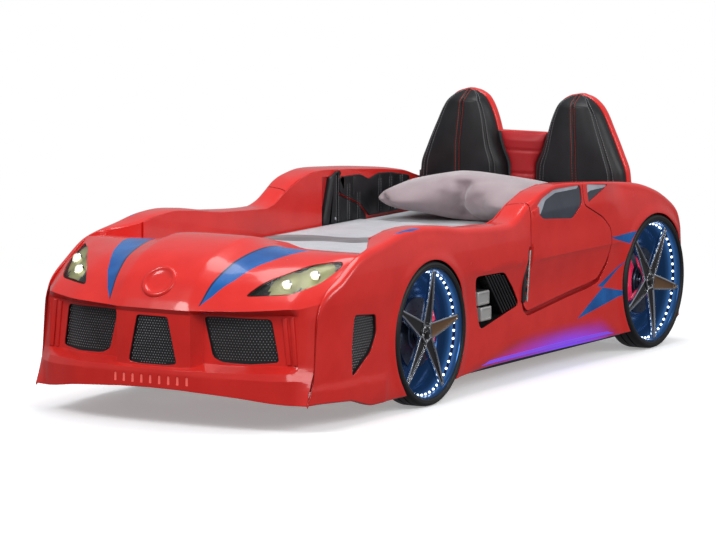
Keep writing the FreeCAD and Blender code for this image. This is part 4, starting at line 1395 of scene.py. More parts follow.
@dataclass(frozen=True)
class FrontMoulding:
    """Hood, nose, mouth and lip, with lamps and grilles."""

    stations: tuple[NoseStation, ...] = (
        NoseStation(0, ((701.5, 584), (415, 628), (205, 592), (85, 522), (18, 445), (0, 412),
                        (12, 396), (14, 212), (2, 204), (0, 190), (0, 139))),
        NoseStation(104, ((701.5, 582), (415, 627), (205, 590), (86, 521), (20, 445), (2, 412),
                          (14, 396), (16, 212), (4, 204), (2, 190), (2, 137))),
        NoseStation(148, ((701.5, 578), (415, 625), (205, 587), (88, 519), (24, 445), (5, 412),
                          (20, 397), (24, 214), (8, 204), (5, 190), (5, 135))),
        NoseStation(170, ((701.5, 564), (415, 608), (212, 572), (100, 508), (40, 442), (16, 413),
                          (70, 396), (70, 226), (12, 206), (8, 190), (8, 133))),
        NoseStation(250, ((701.5, 556), (425, 596), (228, 562), (125, 506), (62, 448), (30, 415),
                          (80, 396), (78, 224), (22, 206), (18, 188), (18, 128))),
        NoseStation(340, ((701.5, 556), (440, 590), (258, 560), (160, 512), (88, 453), (50, 418),
                          (96, 397), (92, 226), (42, 206), (36, 186), (36, 120))),
        NoseStation(430, ((701.5, 556), (462, 586), (305, 558), (212, 511), (130, 455), (92, 423),
                          (134, 400), (132, 228), (82, 206), (74, 182), (74, 106))),
        NoseStation(480, ((701.5, 556), (470, 585), (330, 556), (240, 508), (155, 455), (120, 427),
                          (148, 402), (146, 228), (110, 206), (100, 182), (100, 100))),
        NoseStation(504, ((701.5, 556), (472, 584), (345, 552), (262, 505), (180, 452), (148, 426),
                          (150, 400), (144, 228), (136, 206), (120, 182), (116, 98))),
        NoseStation(548, ((701.5, 556), (474, 582), (400, 545), (335, 514), (262, 470), (225, 441),
                          (205, 395), (178, 228), (172, 206), (160, 180), (128, 98))))
    across: tuple[int, ...] = (11, 6, 4, 10, 10, 10, 6, 4, 6)
    down: tuple[int, ...] = (26, 20, 14, 10, 5, 3, 16, 3, 3, 7)
    headlight: tuple[Point, ...] = ((318, 463), (462, 471), (518, 503), (537, 548), (526, 568),
                                    (456, 560), (359, 509))
    lamps: tuple[Point, ...] = ((420, 496), (482, 523))
    side_grille: tuple[Point, ...] = ((174, 388), (234, 391), (410, 388), (436, 240), (346, 232),
                                      (244, 234), (208, 250))
    centre_grille: tuple[Point, ...] = ((-62, 386), (62, 386), (97, 224), (60, 218), (-60, 218),
                                        (-97, 224))
    slots: int = 9
    slot_pitch: float = 36.0

    def lattice(self) -> list[list[Vector]]:
        """The half surface's points.

        Returns:
            Columns of points in millimetres, from the middle outwards.
        """
        rows = []
        for k in range(11):
            sharp = {2, 3} | ({7, 8} if 6 <= k <= 8 else set())
            rows.append(eased([s.points()[k] for s in self.stations], sharp, self.across))
        columns = [eased([rows[k][c] for k in range(11)], {5, 6, 7, 8, 9}, self.down)
                   for c in range(len(rows[0]))]
        return [[Vector((line[0].x, line[0].y, z)) for z in (500, 530, line[0].z - 4)] + line
                for line in columns]

    def surface(self) -> Mesh:
        """The whole surface, facing outwards.

        Returns:
            The surface.
        """
        half = self.lattice()
        last = len(half) - 1
        bm = grid(2 * last + 1, len(half[0]), lambda i, j: Vector(
            (half[abs(i - last)][j].x * (1 if i >= last else -1), half[abs(i - last)][j].y,
             half[abs(i - last)][j].z)) * MM)
        facing(bm, 2, lambda c: -c.z)
        return bm

    def build(self) -> None:
        """Cuts lamps, grilles and slots out of the moulding and finishes each."""
        bm = self.surface()
        self.stripes(bm)
        front = {"along": Along.Y, "want": lambda c: c.y < -1.0}
        lamp = rounded(metres(self.headlight), 0.02)
        lamp_far = [(-a, b) for a, b in lamp]
        lens = split_off(bm, knife(bm, lamp, **front))
        join(lens, split_off(bm, knife(bm, lamp_far, **front)))
        side = rounded(metres(self.side_grille), 0.014)
        far = [(-a, b) for a, b in side]
        middle = rounded(metres(self.centre_grille), 0.012)
        patches = {name: split_off(bm, knife(bm, shape, **front)) for name, shape in (
            ("grille_right", side), ("grille_left", far), ("grille_centre", middle))}
        cuts = []
        for k in range(self.slots):
            x = (k - (self.slots - 1) / 2) * self.slot_pitch
            slit = rounded(metres([(x - 5, 183), (x + 5, 183), (x + 6, 153), (x - 6, 153)]), 0.004)
            cuts.append(split_off(bm, knife(bm, slit, **front)))
        tree = BVHTree.FromBMesh(bm)
        piece("front_moulding", bm, (RED, BLUE, NAVY), crease=14, wall=WALL)
        # painted light: the lip inserts glow
        piece("lip_inserts", shift(join(*cuts), 0, 0.0025, 0), LIP_PAINTED_GLOW, wall=0.002)
        for (name, patch), shape in zip(patches.items(), (side, far, middle)):
            self.grille(name, patch, shape)
        self.headlights(lens)
        self.bars(tree)
        self.boss(tree)

    def stripes(self, bm: Mesh) -> None:
        """Two plain tapering stripes that run along the hood beside its raised middle.

        Args:
            bm: the moulding.
        """
        for side in (1, -1):
            outer = [(184, -1474), (214, -1330), (231, -1160), (240, -1040), (368, -1040),
                     (356, -1110), (318, -1232), (258, -1368), (213, -1440)]
            inner = [(178, -1480), (184, -1474), (214, -1330), (231, -1160), (240, -1040),
                     (232, -1040), (223, -1160), (206, -1330)]
            for index, shape in ((1, [(x * side, y) for x, y in outer]),
                                 (2, [(x * side, y) for x, y in inner])):
                for face in knife(bm, metres(shape), Along.Z, want=lambda c: c.z > 0.40):
                    face.material_index = index

    @staticmethod
    def grille(name: str, patch: Mesh, outline: Outline) -> None:
        """A dark mesh: a sunk backing with rows of studs on it, whose grey is painted glint.

        Args:
            name: the piece's name.
            patch: what was cut out there.
            outline: the outline of the cut, in metres.
        """
        tree = BVHTree.FromBMesh(patch)
        studs = dots(grown(outline, -0.005), 0.0021, lambda a, b: from_front(tree, a, b),
                     Vector((0, 0.0085, 0)))
        shift(patch, 0, 0.010, 0)
        rim = bmesh.ops.extrude_edge_only(patch, edges=[e for e in patch.edges if e.is_boundary])
        bmesh.ops.translate(patch, vec=(0, -0.0078, 0), verts=of_kind(rim, bmesh.types.BMVert))
        # painted highlight: the studs' grey stands in for the glints in the mesh
        piece(name, join(patch, painted(studs, 1)), (MESH, STUD_PAINTED_GLINT))

    def headlights(self, lens: Mesh) -> None:
        """Clear lens over a dark tray, with two round lamps in it and their light painted as a glow
        on the tray around them.

        Args:
            lens: what was cut out on both sides.
        """
        tree = BVHTree.FromBMesh(lens)
        tray = lens.copy()
        # painted light: the bulbs' glow on the tray, strongest beside each lamp
        layer = tray.verts.layers.float.new("glow")
        for v in tray.verts:
            x, z = abs(v.co.x) / MM, v.co.z / MM
            near = min(math.hypot(x - a, z - b) for a, b in self.lamps)
            v[layer] = step_up(near, 52, 16)
            v.co.y += 0.024 + 0.012 * v[layer]
        for face in tray.faces:
            c = face.calc_center_median() / MM
            near = min(math.hypot(abs(c.x) - a, (c.z - b) * 1.15) for a, b in self.lamps)
            face.material_index = 1 if near < 44 else 0
        piece("headlight_trays", tray, (BLACK, REFLECTOR_PAINTED_GLOW), wall=0.002)
        bulbs = []
        for side in (1, -1):
            for a, b in self.lamps:
                back = from_front(tree, a * side * MM, b * MM) + Vector((0, 0.026, 0))
                ring = lathe([(0.004, 0.021), (0.0, 0.019), (0.006, 0.013), (0.009, 0.013),
                              (0.008, 0.021)], 0, 0, 28)
                turn = Matrix.Translation(back - Vector((0, 0.004, 0))) @ Matrix.Rotation(
                    math.radians(90), 4, "Z")
                bulbs += [painted(placed(ring, turn), 1),
                          ball(bmesh.new(), Matrix.Translation(back), 0.0125, 2)]
        piece("headlight_lamps", join(*bulbs), (BULB, CHROME))
        piece("headlight_lenses", shift(lens, 0, 0.0015, 0), LENS, wall=0.002)

    @staticmethod
    def bars(tree: BVHTree) -> None:
        """Two slanted bars at each outer end of the mouth.

        Args:
            tree: the moulding.
        """
        made = []
        for side in (1, -1):
            for top, foot in (((452, 394), (470, 232)), ((478, 398), (494, 232))):
                ends = [from_front(tree, x * side * MM, z * MM) - Vector((0, 0.001, 0))
                        for x, z in (top, foot)]
                d = ends[1] - ends[0]
                turn = d.to_track_quat("Z", "Y").to_matrix().to_4x4()
                place = Matrix.Translation((ends[0] + ends[1]) / 2) @ turn
                made.append(block(Vector((0.009, 0.016, d.length)), place, 0.003))
        piece("mouth_bars", join(*made), RED, crease=60)

    @staticmethod
    def boss(tree: BVHTree) -> None:
        """A plain round boss on the nose.

        Args:
            tree: the moulding.
        """
        hit, normal, *_ = tree.ray_cast(Vector((0, BEFORE_NOSE, 0.5)), Vector((0, 1, 0)))
        disc = lathe([(-0.006, 0.0004), (-0.0005, 0.0004), (0.0, 0.024), (-0.001, 0.045),
                      (0.0035, 0.050), (0.0065, 0.055), (0.005, 0.061), (-0.001, 0.066),
                      (-0.012, 0.067)], 0, 0, 72)
        turn = normal.to_track_quat("X", "Z").to_matrix().to_4x4()
        placed(disc, Matrix.Translation(hit) @ turn)
        piece("hood_boss", disc, RED, crease=50)


# ---- wheels
@dataclass(frozen=True)
class Wheel:
    """One show wheel on the right-hand side.

    Attributes:
        name: front or rear.
        y: where its axle is.
        turn: angle of the first spoke from straight up, in degrees.
    """

    name: str
    y: float
    turn: float = 0.0
    spokes: int = 5
    beads: int = 48

    def around(self, x: float, radius: float, angle: float) -> Vector:
        """A point at a radius and an angle from straight up, in metres."""
        return Vector((x, self.y + radius * math.sin(angle),
                       S.axle_z + radius * math.cos(angle))) * MM

    def turned(self, line: Outline, steps: int) -> Mesh:
        """A ring about the axle, turned from (x, radius) points in millimetres."""
        return lathe(metres(line), self.y * MM, S.axle_z * MM, steps)

    def tyre(self) -> Mesh:
        """Thin-walled tyre with a grooved tread and a stepped side wall.

        Returns:
            The tyre.
        """
        line = [(494, 233), (492.4, 246), (497, 255), (506, 257.6), (528, 257.8), (529.5, 254),
                (533.5, 254), (535, 257.9), (556, 257.9), (557.5, 254), (561.5, 254),
                (563, 257.7), (578, 257), (586, 254.5), (590.5, 249), (591.6, 243), (590.4, 241.5),
                (591, 239.5), (589.5, 234), (585.4, 231.4), (497, 231.4)]
        return self.turned(line, 128)

    def rim(self) -> list[Mesh]:
        """Deep dish, spokes with sunk inlays, and hub.

        Returns:
            Its parts, on finishes 0 (dish), 1 and 3 (spokes) and 2 (hub).
        """
        line = [(583.6, 231), (583.6, 228.5), (580.5, 225.6), (576, 224.4), (568, 224), (562, 223.6),
                (556, 223.2), (550, 222.9), (544, 222.6), (534, 222.2), (520, 221.8), (500, 221),
                (491.5, 214), (489.8, 200), (489.6, 60), (489.6, 12), (485.6, 12), (485.6, 216),
                (488, 226), (492, 231)]
        dish = self.turned(line, 128)
        # painted light: the beads' blue light on the dish, strong in a band by the ring and faint
        # over its face
        layer = dish.verts.layers.float.new("glow")
        for v in dish.verts:
            r = math.hypot(v.co.y - self.y * MM, v.co.z - S.axle_z * MM) / MM
            x = v.co.x / MM
            v[layer] = 0.16 * step_up(r, 60, 200) + step_up(r, 214, 221) * bump(x, 556, 17)
        spokes = [self.spoke(math.radians(self.turn) + TAU * k / self.spokes, k)
                  for k in range(self.spokes)]
        hub = self.turned([(545, 6), (545, 40), (566, 40), (569, 37), (569, 17), (572.5, 15),
                           (574, 11), (574.6, 0.4), (545, 0.4)], 48)
        stem = self.turned([(489, 30), (546, 30), (546, 12), (489, 12)], 32)
        return [dish, *spokes, painted(hub, 2), painted(stem, 1)]

    def spoke(self, angle: float, index: int) -> Mesh:
        """One spoke: a bright frame around a sunk dark panel.

        Args:
            angle: from straight up, in radians.
            index: which spoke; the second one's panel is bronze.

        Returns:
            The spoke, on finishes 1 (frame), 2 (dark panel) and 3 (bronze panel).
        """
        shape = [(24, -19), (34, -30), (60, -28), (120, -22), (196, -13), (222.6, -11), (224, 0),
                 (222.6, 11), (196, 13), (120, 22), (60, 28), (34, 30), (24, 19)]
        bm = prism(metres(shape), Along.Z, 0.0, 0.017, 0.0022, 2)
        top = max(bm.faces, key=lambda f: (round(f.calc_center_median().z, 5), f.calc_area()))
        painted(bm, 1)
        bmesh.ops.inset_region(bm, faces=[top], thickness=0.0042, depth=0.0)
        bmesh.ops.inset_region(bm, faces=[top], thickness=0.0012, depth=-0.005)
        top.material_index = 3 if index == 1 else 2
        bmesh.ops.bisect_plane(bm, geom=[top, *top.edges, *top.verts], dist=1e-6,
                               plane_co=(0, 0, 0), plane_no=(0, 1, 0))
        for v in bm.verts:
            r, t, h = v.co.x, v.co.y, v.co.z
            x = 0.556 + h + 0.006 * step_up(r, 0.04, 0.20) - 0.003 * bump(r, 0.03, 0.03)
            v.co = Vector((x, self.y * MM + r * math.sin(angle) + t * math.cos(angle),
                           S.axle_z * MM + r * math.cos(angle) - t * math.sin(angle)))
        outward(bm)
        return bm

    def lights(self) -> Mesh:
        """The ring of light beads on the dish's wall, on its flexible strip.

        Returns:
            The beads on finish 0, the strip on 1.
        """
        bm = bmesh.new()
        for k in range(self.beads):
            a = TAU * (k + 0.5) / self.beads
            ball(bm, Matrix.Translation(self.around(557, 219.6, a)), 0.0047, 2)
        strip = self.turned([(552, 222.6), (552, 221.4), (562, 221.8), (562, 223)], 96)
        return join(bm, painted(strip, 1))

    def disc(self) -> Mesh:
        """Brake disc with drilled rows and a caliper over its edge.

        Returns:
            The disc on finish 0, its holes on 1 and the caliper on 2.
        """
        bm = self.turned([(520, 34), (520, 60), (517, 62), (517, 127), (527, 127), (527, 62),
                          (531, 60), (531, 34)], 80)
        holes = bmesh.new()
        flat = Matrix.Diagonal((0.25, 1, 1, 1))
        for k in range(40):
            place = self.around(527, 78 + 17 * (k % 3), TAU * k / 40)
            ball(holes, Matrix.Translation(place) @ flat, 0.0034)
        mid = math.radians(96 if self.y < 0 else 268)
        shape = []
        for r, start, sweep in ((131, -46, 92), (90, 43, -86)):
            for k in range(13):
                a = mid + math.radians(start + sweep * k / 12)
                shape.append((self.y + r * math.sin(a), S.axle_z + r * math.cos(a)))
        clamp = prism(metres(shape), Along.X, 0.513, 0.5335, 0.003, 2)
        return join(bm, painted(holes, 1), painted(clamp, 2))

    def bolts(self) -> Mesh:
        """Five hexagon bolts on the hub.

        Returns:
            The bolts.
        """
        bm = bmesh.new()
        for k in range(self.spokes):
            p = self.around(567.5, 25, math.radians(self.turn) + TAU * (k + 0.5) / self.spokes)
            turn = Matrix.Rotation(math.radians(90), 4, "Y")
            head = bmesh.new()
            bmesh.ops.create_cone(head, segments=6, cap_ends=True, radius1=0.0052, radius2=0.0052,
                                  depth=0.006, matrix=Matrix.Translation(p) @ turn)
            bmesh.ops.bevel(head, geom=list(head.edges), offset=0.0007, segments=1, profile=0.5,
                            affect="EDGES", material=-1)
            join(bm, head)
        return bm


class Wheels:
    """All four wheels; parts that the frame holds as one node are one piece here."""

    def __init__(self) -> None:
        """Sets the two right-hand wheels out."""
        self.wheels = (Wheel("front", S.axle_front, 8.0), Wheel("rear", S.axle_rear, 30.0))

    def build(self) -> None:
        """Makes tyres and rims wheel by wheel, then lights, discs and bolts together."""
        for wheel in self.wheels:
            pair(f"tyre_{wheel.name}", wheel.tyre(), TYRE, crease=50)
            pair(f"rim_{wheel.name}", join(*wheel.rim()), (CHROME_PAINTED_BLUE_LIGHT, CHROME, BLACK, BRONZE),
                 crease=40)
        self.together("wheel_lights", Wheel.lights, (LED, NAVY), 60)
        self.together("brake_discs", Wheel.disc, (DISC, MATT, CALIPER_PAINTED_GLOW), 40)
        self.together("wheel_bolts", Wheel.bolts, STEEL, 30)

    def together(self, name: str, part: Callable[[Wheel], Mesh], finishes: Finishes,
                 crease: float) -> None:
        """One piece from the same part of every wheel.

        Args:
            name: the piece's name, which is also its node's.
            part: makes the part of one wheel.
            finishes: as in `piece`.
            crease: as in `piece`.
        """
        made = join(*[part(w) for w in self.wheels])
        join(made, mirrored(made))
        piece(name, made, finishes, crease=crease)


# ---- bed, upholstery and bedding
@dataclass(frozen=True)
class SeatBack:
    """One of the two upholstered shapes on the headboard, right-hand side."""

    foot: float = 488.0
    thick: float = 80.0
    inner: Track = Track([(0, -176), (0.2, -178), (0.38, -174), (0.54, -146), (0.79, -112),
                          (0.93, -78), (0.985, -38), (1, -4)])
    outer: Track = Track([(0, 204), (0.18, 206), (0.36, 200), (0.52, 172), (0.72, 130),
                          (0.88, 92), (0.97, 46), (1, 4)])

    def at(self, u: float, v: float, front: bool) -> Vector:
        """A point of the padded shape, in metres.

        Args:
            u: from the inner edge to the outer one.
            v: from the foot to the top.
            front: the crowned face, or the flat one at the back.

        Returns:
            The point.
        """
        share = math.sin(v * math.pi / 2) ** 0.9 if v > 0 else 0.0
        t = 2 * u - 1
        wave = math.sin(t * math.pi / 2)
        z = self.foot + (S.seat_top - self.foot) * share
        left, right = self.inner(share), self.outer(share)
        x = S.seat_x + (left + right) / 2 + (right - left) / 2 * wave
        if not front:
            return Vector((x, S.head_y - 1.0, z)) * MM
        rim = (1 - abs(wave) ** 3.2) ** (1 / 2.4) if abs(wave) < 1 else 0.0
        ends = min(1.0, step_up(share, -0.02, 0.06) * 0.8 + 0.2 * share) * step_up(share, 1.0, 0.9)
        rise = self.thick * (0.62 + 0.38 * bump(share, 0.45, 0.5)) * rim * max(0.0, ends) ** 0.6
        groove = 7.0 * bump(t, 0, 0.03) + 6.0 * bump(t, -0.58, 0.028) + 6.0 * bump(t, 0.58, 0.028)
        fold = 1.2 * math.sin(9 * share + 4 * t) * bump(t, 0.3, 0.5)
        rise = max(0.0, rise - groove * rim * min(1.0, rise / 20) + fold * rim * min(1, rise / 30))
        return Vector((x, S.head_y - 1.0 - rise, z)) * MM

    def seam(self, t: float, off: float = 0.0) -> list[Vector]:
        """The line of a seam.

        Args:
            t: how far across, from -1 to 1.
            off: millimetres beside that place.

        Returns:
            Points just off the face, in metres.
        """
        line = []
        for k in range(6, 88):
            share = math.sin(k / 92 * math.pi / 2) ** 0.9
            half = (self.outer(share) - self.inner(share)) / 2
            own = t + 2 / math.pi * math.asin(max(-1.0, min(1.0, off / half)))
            line.append(self.at((own + 1) / 2, k / 92, True) - Vector((0, 0.0006, 0)))
        return line

    def build(self) -> None:
        """The padded shapes with their stitching."""
        bm = closed_pad(101, 97, lambda u, v: self.at(u, v, True),
                        lambda u, v: self.at(u, v, False))
        for obj in pair("seat_back", bm, LEATHER, crease=70):
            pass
        rows = [stitches(self.seam(0, off)) for off in (-8, 8)]
        grey = [painted(stitches(self.seam(t)), 1) for t in (-0.63, -0.53, 0.53, 0.63)]
        pair("seat_stitching", join(*rows, *grey), (THREAD, THREAD_GREY))


@dataclass(frozen=True)
class Headboard:
    """Board, red shell and centre pad behind the pillow."""

    half: Track = Track([(492, 54), (664, 54), (742, 84), (800, 100)])

    @staticmethod
    def outline() -> list[Point]:
        """The red shell's outline: a rim around both seat shapes, with a valley between.

        Returns:
            (x, z) in metres.
        """
        seat = SeatBack()
        rim, valley = 4.5, 803.0
        foot = seat.foot + 9
        turns = [k / 40 * math.pi / 2 for k in range(41)]
        right = []
        for share in map(math.sin, turns):
            z = foot + (S.seat_top - 2 + rim - foot) * share
            right.append((min(457.0, S.seat_x + seat.outer(share) + rim), z))
        for share in map(math.cos, turns):
            z = foot + (S.seat_top - 2 + rim - foot) * share
            if z > valley + 3:
                right.append((S.seat_x + seat.inner(share) - rim, z))
        right.append((right[-1][0] - 3, valley))
        return metres([*right, *[(-x, z) for x, z in reversed(right)]])

    def pad(self, u: float, v: float, front: bool) -> Vector:
        """A point of the red centre pad.

        Args:
            u: from the left edge to the right one.
            v: from the foot to the top.
            front: the crowned face, or the flat one at the back.

        Returns:
            The point in metres.
        """
        z = 492 + 308 * v
        t = math.sin((2 * u - 1) * math.pi / 2)
        x = self.half(z) * t
        if not front:
            return Vector((x, 1239.3, z)) * MM
        rise = 25 * max(0.0, 1 - abs(t) ** 3) ** 0.5 * min(1, 12 * v, 10 * (1 - v)) ** 0.5
        rise -= 4 * bump(z, 640, 5) * (rise > 6) + 4 * bump(z, 730, 5) * (rise > 6)
        return Vector((x, 1239.3 - max(0.0, rise), z)) * MM

    def build(self) -> None:
        """Makes the pad and finishes the boards."""
        bm = closed_pad(41, 61, lambda u, v: self.pad(u, v, True),
                        lambda u, v: self.pad(u, v, False))
        pad = piece("centre_pad", bm, LEATHER_RED, crease=70)
        shell = prism(self.outline(), Along.Y, 1.2415, 1.276, 0.006, 3)
        piece("headboard_shell", shell, RED, crease=40)
        dress(LAMINATE, "headboard_board")


@dataclass(frozen=True)
class SidePads:
    """Leatherette pads on the inner faces of the sides, right-hand side."""

    rear: tuple[Point, ...] = ((828, 486), (816, 497), (760, 540), (690, 564), (603, 593),
                               (603, 655), (760, 652), (830, 628), (905, 645), (1000, 640),
                               (1150, 616), (1150, 486))
    door: tuple[Point, ...] = ((481, 334), (481, 500), (533, 658), (598, 682), (600, 588),
                               (690, 559), (756, 536), (808, 495), (813, 430), (794, 373),
                               (744, 334))

    @staticmethod
    def cushion(outline: Outline, face: float, back: float, grooves: Sequence[float]) -> Mesh:
        """A pad in an outline, crowned inwards.

        Args:
            outline: (y, z) in millimetres.
            face: x of the crown.
            back: x of the flat side.
            grooves: y of upright stitched channels.

        Returns:
            The pad.
        """
        shape = rounded(metres(outline), 0.012, 5)
        bm = bmesh.new()
        low = bm.faces.new([bm.verts.new((back * MM, a, b)) for a, b in shape])
        top = of_kind(bmesh.ops.extrude_face_region(bm, geom=[low]), Face)[0]
        depth = abs(face - back) * MM
        side = -1 if face < back else 1
        bmesh.ops.translate(bm, verts=list(top.verts), vec=(side * depth * 0.45, 0, 0))
        for inset, rise in ((0.0015, 0.2), (0.003, 0.17), (0.006, 0.12), (0.012, 0.06)):
            bmesh.ops.inset_region(bm, faces=[top], thickness=inset, depth=0.0)
            bmesh.ops.translate(bm, verts=list(top.verts), vec=(side * depth * rise, 0, 0))
        outward(bm)
        for y in grooves:
            for at in (y - 5, y, y + 5):
                geom = list(bm.faces) + list(bm.edges) + list(bm.verts)
                bmesh.ops.bisect_plane(bm, geom=geom, dist=1e-6, plane_co=(0, at * MM, 0),
                                       plane_no=(0, 1, 0))
            for v in bm.verts:
                if abs(v.co.y - y * MM) < 1e-5 and abs(v.co.x - face * MM) < depth * 0.3:
                    v.co.x -= side * 0.0035
        return bm

    def build(self) -> None:
        """Pads of both sides with their stitched lines and studs."""
        rear = self.cushion(self.rear, PAD_FACE + 0.4, 461.6, (700, 905, 990, 1075))
        door = self.cushion(self.door, PAD_FACE + 0.4, 473.6, (575, 660, 740))
        for name, bm in (("rear_pad", rear), ("door_pad", door)):
            for obj in pair(name, bm, LEATHER, door=bm is door, crease=50):
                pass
        rows = self.seams(500, ((905, 622), (990, 622), (1075, 622)))
        door_rows = self.seams(350, ((575, 664), (660, 630), (740, 590)))
        pair("rear_pad_stitching", rows, THREAD_GREY)
        pair("door_pad_stitching", door_rows, THREAD_GREY, door=True)
        pair("rear_pad_stud", self.stud(1027, 500), CHROME, crease=60)
        pair("door_pad_stud", self.stud(562, 498), CHROME, door=True, crease=60)

    @staticmethod
    def seams(foot: int, tops: Sequence[tuple[int, int]]) -> Mesh:
        """Double rows of stitches up a pad, from foot to each (y, z), in millimetres."""
        return join(*[stitches([Vector((PAD_FACE, y + d, z)) * MM for z in range(foot, top, 4)])
                      for y, top in tops for d in (-9, 9)])

    @staticmethod
    def stud(y: float, z: float) -> Mesh:
        """A flat bright button on a pad."""
        flat = Matrix.Diagonal((0.4, 1, 1, 1))
        return ball(bmesh.new(), Matrix.Translation(Vector((PAD_FACE, y, z)) * MM) @ flat, 0.006, 3)


@dataclass(frozen=True)
class Mattress:
    """Foam mattress with piped edges."""

    half: float = 449.0
    front: float = -772.0
    back: float = 1226.0
    low: float = 308.5
    top: float = 477.6

    def loop(self, z: float, radius: float, bulge: float = 0.0) -> list[Vector]:
        """A rounded rectangle around the mattress at a height.

        Args:
            z: the height.
            radius: of its corners.
            bulge: how far it stands out.

        Returns:
            Its points in metres.
        """
        line = []
        corners = ((self.half, self.front, -90), (self.half, self.back, 0),
                   (-self.half, self.back, 90), (-self.half, self.front, 180))
        for cx, cy, start in corners:
            sx, sy = math.copysign(1, cx), math.copysign(1, cy - 200)
            mid = Vector((cx - sx * radius, cy - sy * radius, z))
            for k in range(9):
                a = math.radians(start + 90 * k / 8)
                line.append((mid + Vector((math.cos(a), math.sin(a), 0)) * (radius + bulge)) * MM)
        return line

    def build(self) -> None:
        """The mattress and its piping."""
        bm = bmesh.new()
        levels = [(self.low, 30, -10), (self.low + 4, 38, -2.5), (self.low + 12, 40, 0),
                  (self.low + 85, 40, 0), (self.top - 12, 40, 0), (self.top - 4, 38, -2.5),
                  (self.top, 30, -10)]
        rings = [[bm.verts.new(p) for p in self.loop(z, r, b)] for z, r, b in levels]
        skinned(bm, rings)
        bm.faces.new(list(reversed(rings[0])))
        bm.faces.new(rings[-1])
        outward(bm)
        cord = bmesh.new()
        for z in (self.low + 8, self.top - 8):
            self.tube(cord, self.loop(z, 40, -0.6), 0.0032)
        obj = piece("mattress", join(bm, painted(cord, 1)), (KNIT, THREAD_GREY),
                    crease=40)

    @staticmethod
    def tube(bm: Mesh, line: Sequence[Vector], radius: float) -> None:
        """A closed round cord along a level loop.

        Args:
            bm: the mesh that gets it.
            line: the loop's points.
            radius: the cord's, in metres.
        """
        rings = []
        for k, p in enumerate(line):
            ahead = (line[(k + 1) % len(line)] - line[k - 1]).normalized()
            out = Vector((ahead.y, -ahead.x, 0))
            rings.append([bm.verts.new(p + (out * math.cos(TAU * i / 8) + Vector((0, 0, 1))
                                            * math.sin(TAU * i / 8)) * radius) for i in range(8)])
        skinned(bm, [*rings, rings[0]])
        outward(bm)


@dataclass(frozen=True)
class Cover:
    """Light cover laid flat on the mattress, with a dark band across it."""

    half: float = 441.0
    front: float = -235.0
    back: float = 733.0
    level: float = 479.2
    thick: float = 0.0022

    def height(self, x: float, y: float) -> float:
        """Height of the cloth: low folds that die out at its edges.

        Args:
            x: across the bed.
            y: along the bed.

        Returns:
            The height in millimetres.
        """
        inside_x = step_up(self.half - abs(x), 0, 60)
        inside_y = step_up(min(y - self.front, self.back - y), 0, 50)
        fold = 3.0 * math.sin(x / 63 + 1.4 * math.sin(y / 140)) * math.sin(y / 88 + 0.6)
        fold += 1.6 * math.sin(x / 31 - y / 57) + 1.1 * math.sin(y / 23 + 2 * math.sin(x / 90))
        return self.level + 1.0 + max(0.0, fold + 3.4) * inside_x * inside_y

    def build(self, rests_on: bpy.types.Object) -> None:
        """The cloth and its woven band.

        Args:
            rests_on: the mattress; not used.
        """
        columns, rows = 111, 121
        bm = grid(columns, rows, lambda i, j: Vector((
            -self.half + 2 * self.half * i / (columns - 1),
            self.front + (self.back - self.front) * j / (rows - 1), 0)) * MM)
        for v in bm.verts:
            v.co.z = self.height(v.co.x / MM, v.co.y / MM) * MM
        band = [(-470, -112), (470, 198), (470, 378), (-470, 68)]
        for face in knife(bm, metres(band), Along.Z):
            face.material_index = 1
        bm.normal_update()
        if bm.faces[:][0].normal.z < 0:
            bmesh.ops.reverse_faces(bm, faces=list(bm.faces))
        obj = piece("cover", bm, (COVER, HEM), crease=80)
        thick = obj.modifiers.new("cloth", "SOLIDIFY")
        thick.thickness = self.thick
        thick.offset = 1.0


